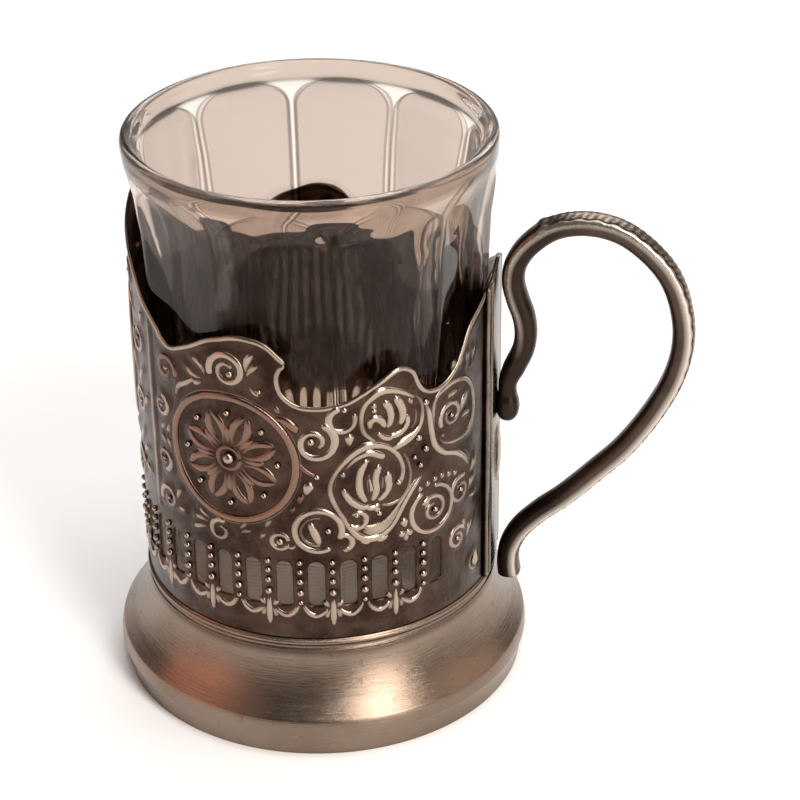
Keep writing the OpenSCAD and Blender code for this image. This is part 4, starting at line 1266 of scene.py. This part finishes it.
for v in bm.verts:
    r = math.hypot(v.co.x, v.co.y)
    z = v.co.z - FLOOR_Z
    share = z / GLASS_H
    if r > 1 and r > skin(share) - 0.5 and 0.01 < share < 0.99:
        turn = math.atan2(v.co.y, v.co.x)
        local = (turn * PANELS / (2 * math.pi)) % 1 - 0.5
        plane = (r - panel_depth(z)) / math.cos(local * 2 * math.pi / PANELS)
        blend = max(0, RIDGE_BLEND - abs(r - plane)) / RIDGE_BLEND
        reach = min(r, plane) - blend * blend * RIDGE_BLEND / 4
        v.co.x *= reach / r
        v.co.y *= reach / r
bmesh.ops.recalc_face_normals(bm, faces=bm.faces)
cup = finish_mesh("tea_glass_body", bm, clear_glass, "glass")
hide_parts("tea_glass")

# %% [markdown]
# ## Floor, light and camera
# The floor is a plain pale sheet, and the world round it is dim, so that polished metal has
# something dark to mirror between its highlights.

# %% The floor and the world
bm = bmesh.new()
bmesh.ops.create_grid(bm, x_segments=1, y_segments=1, size=3.0)
mesh = bpy.data.meshes.new("floor")
bm.to_mesh(mesh)
bm.free()
floor = bpy.data.objects.new("floor", mesh)
bpy.context.scene.collection.objects.link(floor)
PAPER_TONE = (0.86, 0.855, 0.85, 1)
PAPER_PALE = (0.9, 0.895, 0.89, 1)
paper = Finish("floor_paper", Roughness=0.9)
where, radius, angle, z = paper.place()
mesh.materials.append(paper.feed(Base_Color=paper.tint(paper.noise(where, 6.0), PAPER_TONE, PAPER_PALE)))
world = bpy.data.worlds.new("studio")
bpy.context.scene.world = world
world.use_nodes = True
sky = world.node_tree.nodes["Background"]
sky.inputs["Color"].default_value = (1.0, 0.95, 0.9, 1)
sky.inputs["Strength"].default_value = 0.15
print("world strength:", round(sky.inputs["Strength"].default_value, 2))

# %% [markdown]
# ### The lamps
# A tall key lamp gives the foot and the ribs their long highlight. A reddish lamp on the left and
# a warm one on the right colour the metal's flanks, one behind lights the glass, and a large one
# overhead whitens the floor.

# %% The lamps
TARGET = (0, 0, 0.05)


def lamp(name, at, size, power, colour):
    """A soft area lamp at a place in metres, turned towards the object's middle."""
    data = bpy.data.lights.new(name, "AREA")
    data.shape = "RECTANGLE"
    data.size, data.size_y = size
    data.energy = power
    data.color = colour
    holder = bpy.data.objects.new(name, data)
    bpy.context.scene.collection.objects.link(holder)
    holder.location = at
    holder.rotation_euler = (Vector(TARGET) - Vector(at)).to_track_quat("-Z", "Y").to_euler()
    print("lamp", name, power, "watts")


lamp("key", (0.437, -0.453, 0.43), (0.2, 0.75), 6, (1.0, 0.96, 0.9))
lamp("warm_side", (-0.75, -0.42, 0.3), (0.7, 0.5), 1.5, (1.0, 0.46, 0.31))
lamp("right_side", (0.78, 0.12, 0.4), (0.7, 0.5), 1.3, (1.0, 0.8, 0.66))
lamp("back", (0.1, 0.9, 0.75), (0.9, 0.4), 4, (0.97, 0.98, 1.0))
lamp("top", (0.1, 0.1, 1.4), (1.1, 1.1), 16, (0.96, 0.985, 1.0))

# %% [markdown]
# ### The camera
# The camera stands where the photographer did. Its place in millimetres and its three turns in
# radians were solved from the ellipses of the foot, the sleeve's edge and the glass's rim.

# %% The camera
EYE = Vector((80.17, -373.88, 268.07))
YAW = -0.17034
PITCH = 0.51143
ROLL = -0.01068
FOCAL_PIXELS = 2300
PICTURE_PIXELS = 800
forward = Vector((math.sin(YAW) * math.cos(PITCH), math.cos(YAW) * math.cos(PITCH), -math.sin(PITCH)))
right = Vector((math.cos(YAW), -math.sin(YAW), 0))
up = right.cross(forward)
right, up = right * math.cos(ROLL) + up * math.sin(ROLL), up * math.cos(ROLL) - right * math.sin(ROLL)
data = bpy.data.cameras.new("camera")
data.sensor_width = 36
data.lens = data.sensor_width * FOCAL_PIXELS / PICTURE_PIXELS
data.clip_start = 0.01
camera = bpy.data.objects.new("camera", data)
bpy.context.scene.collection.objects.link(camera)
camera.matrix_world = Matrix.Translation(EYE * MM) @ Matrix((right, up, -forward)).transposed().to_4x4()
bpy.context.scene.camera = camera
bpy.context.scene.view_settings.view_transform = "Standard"
print("camera lens:", round(data.lens, 1), "mm")
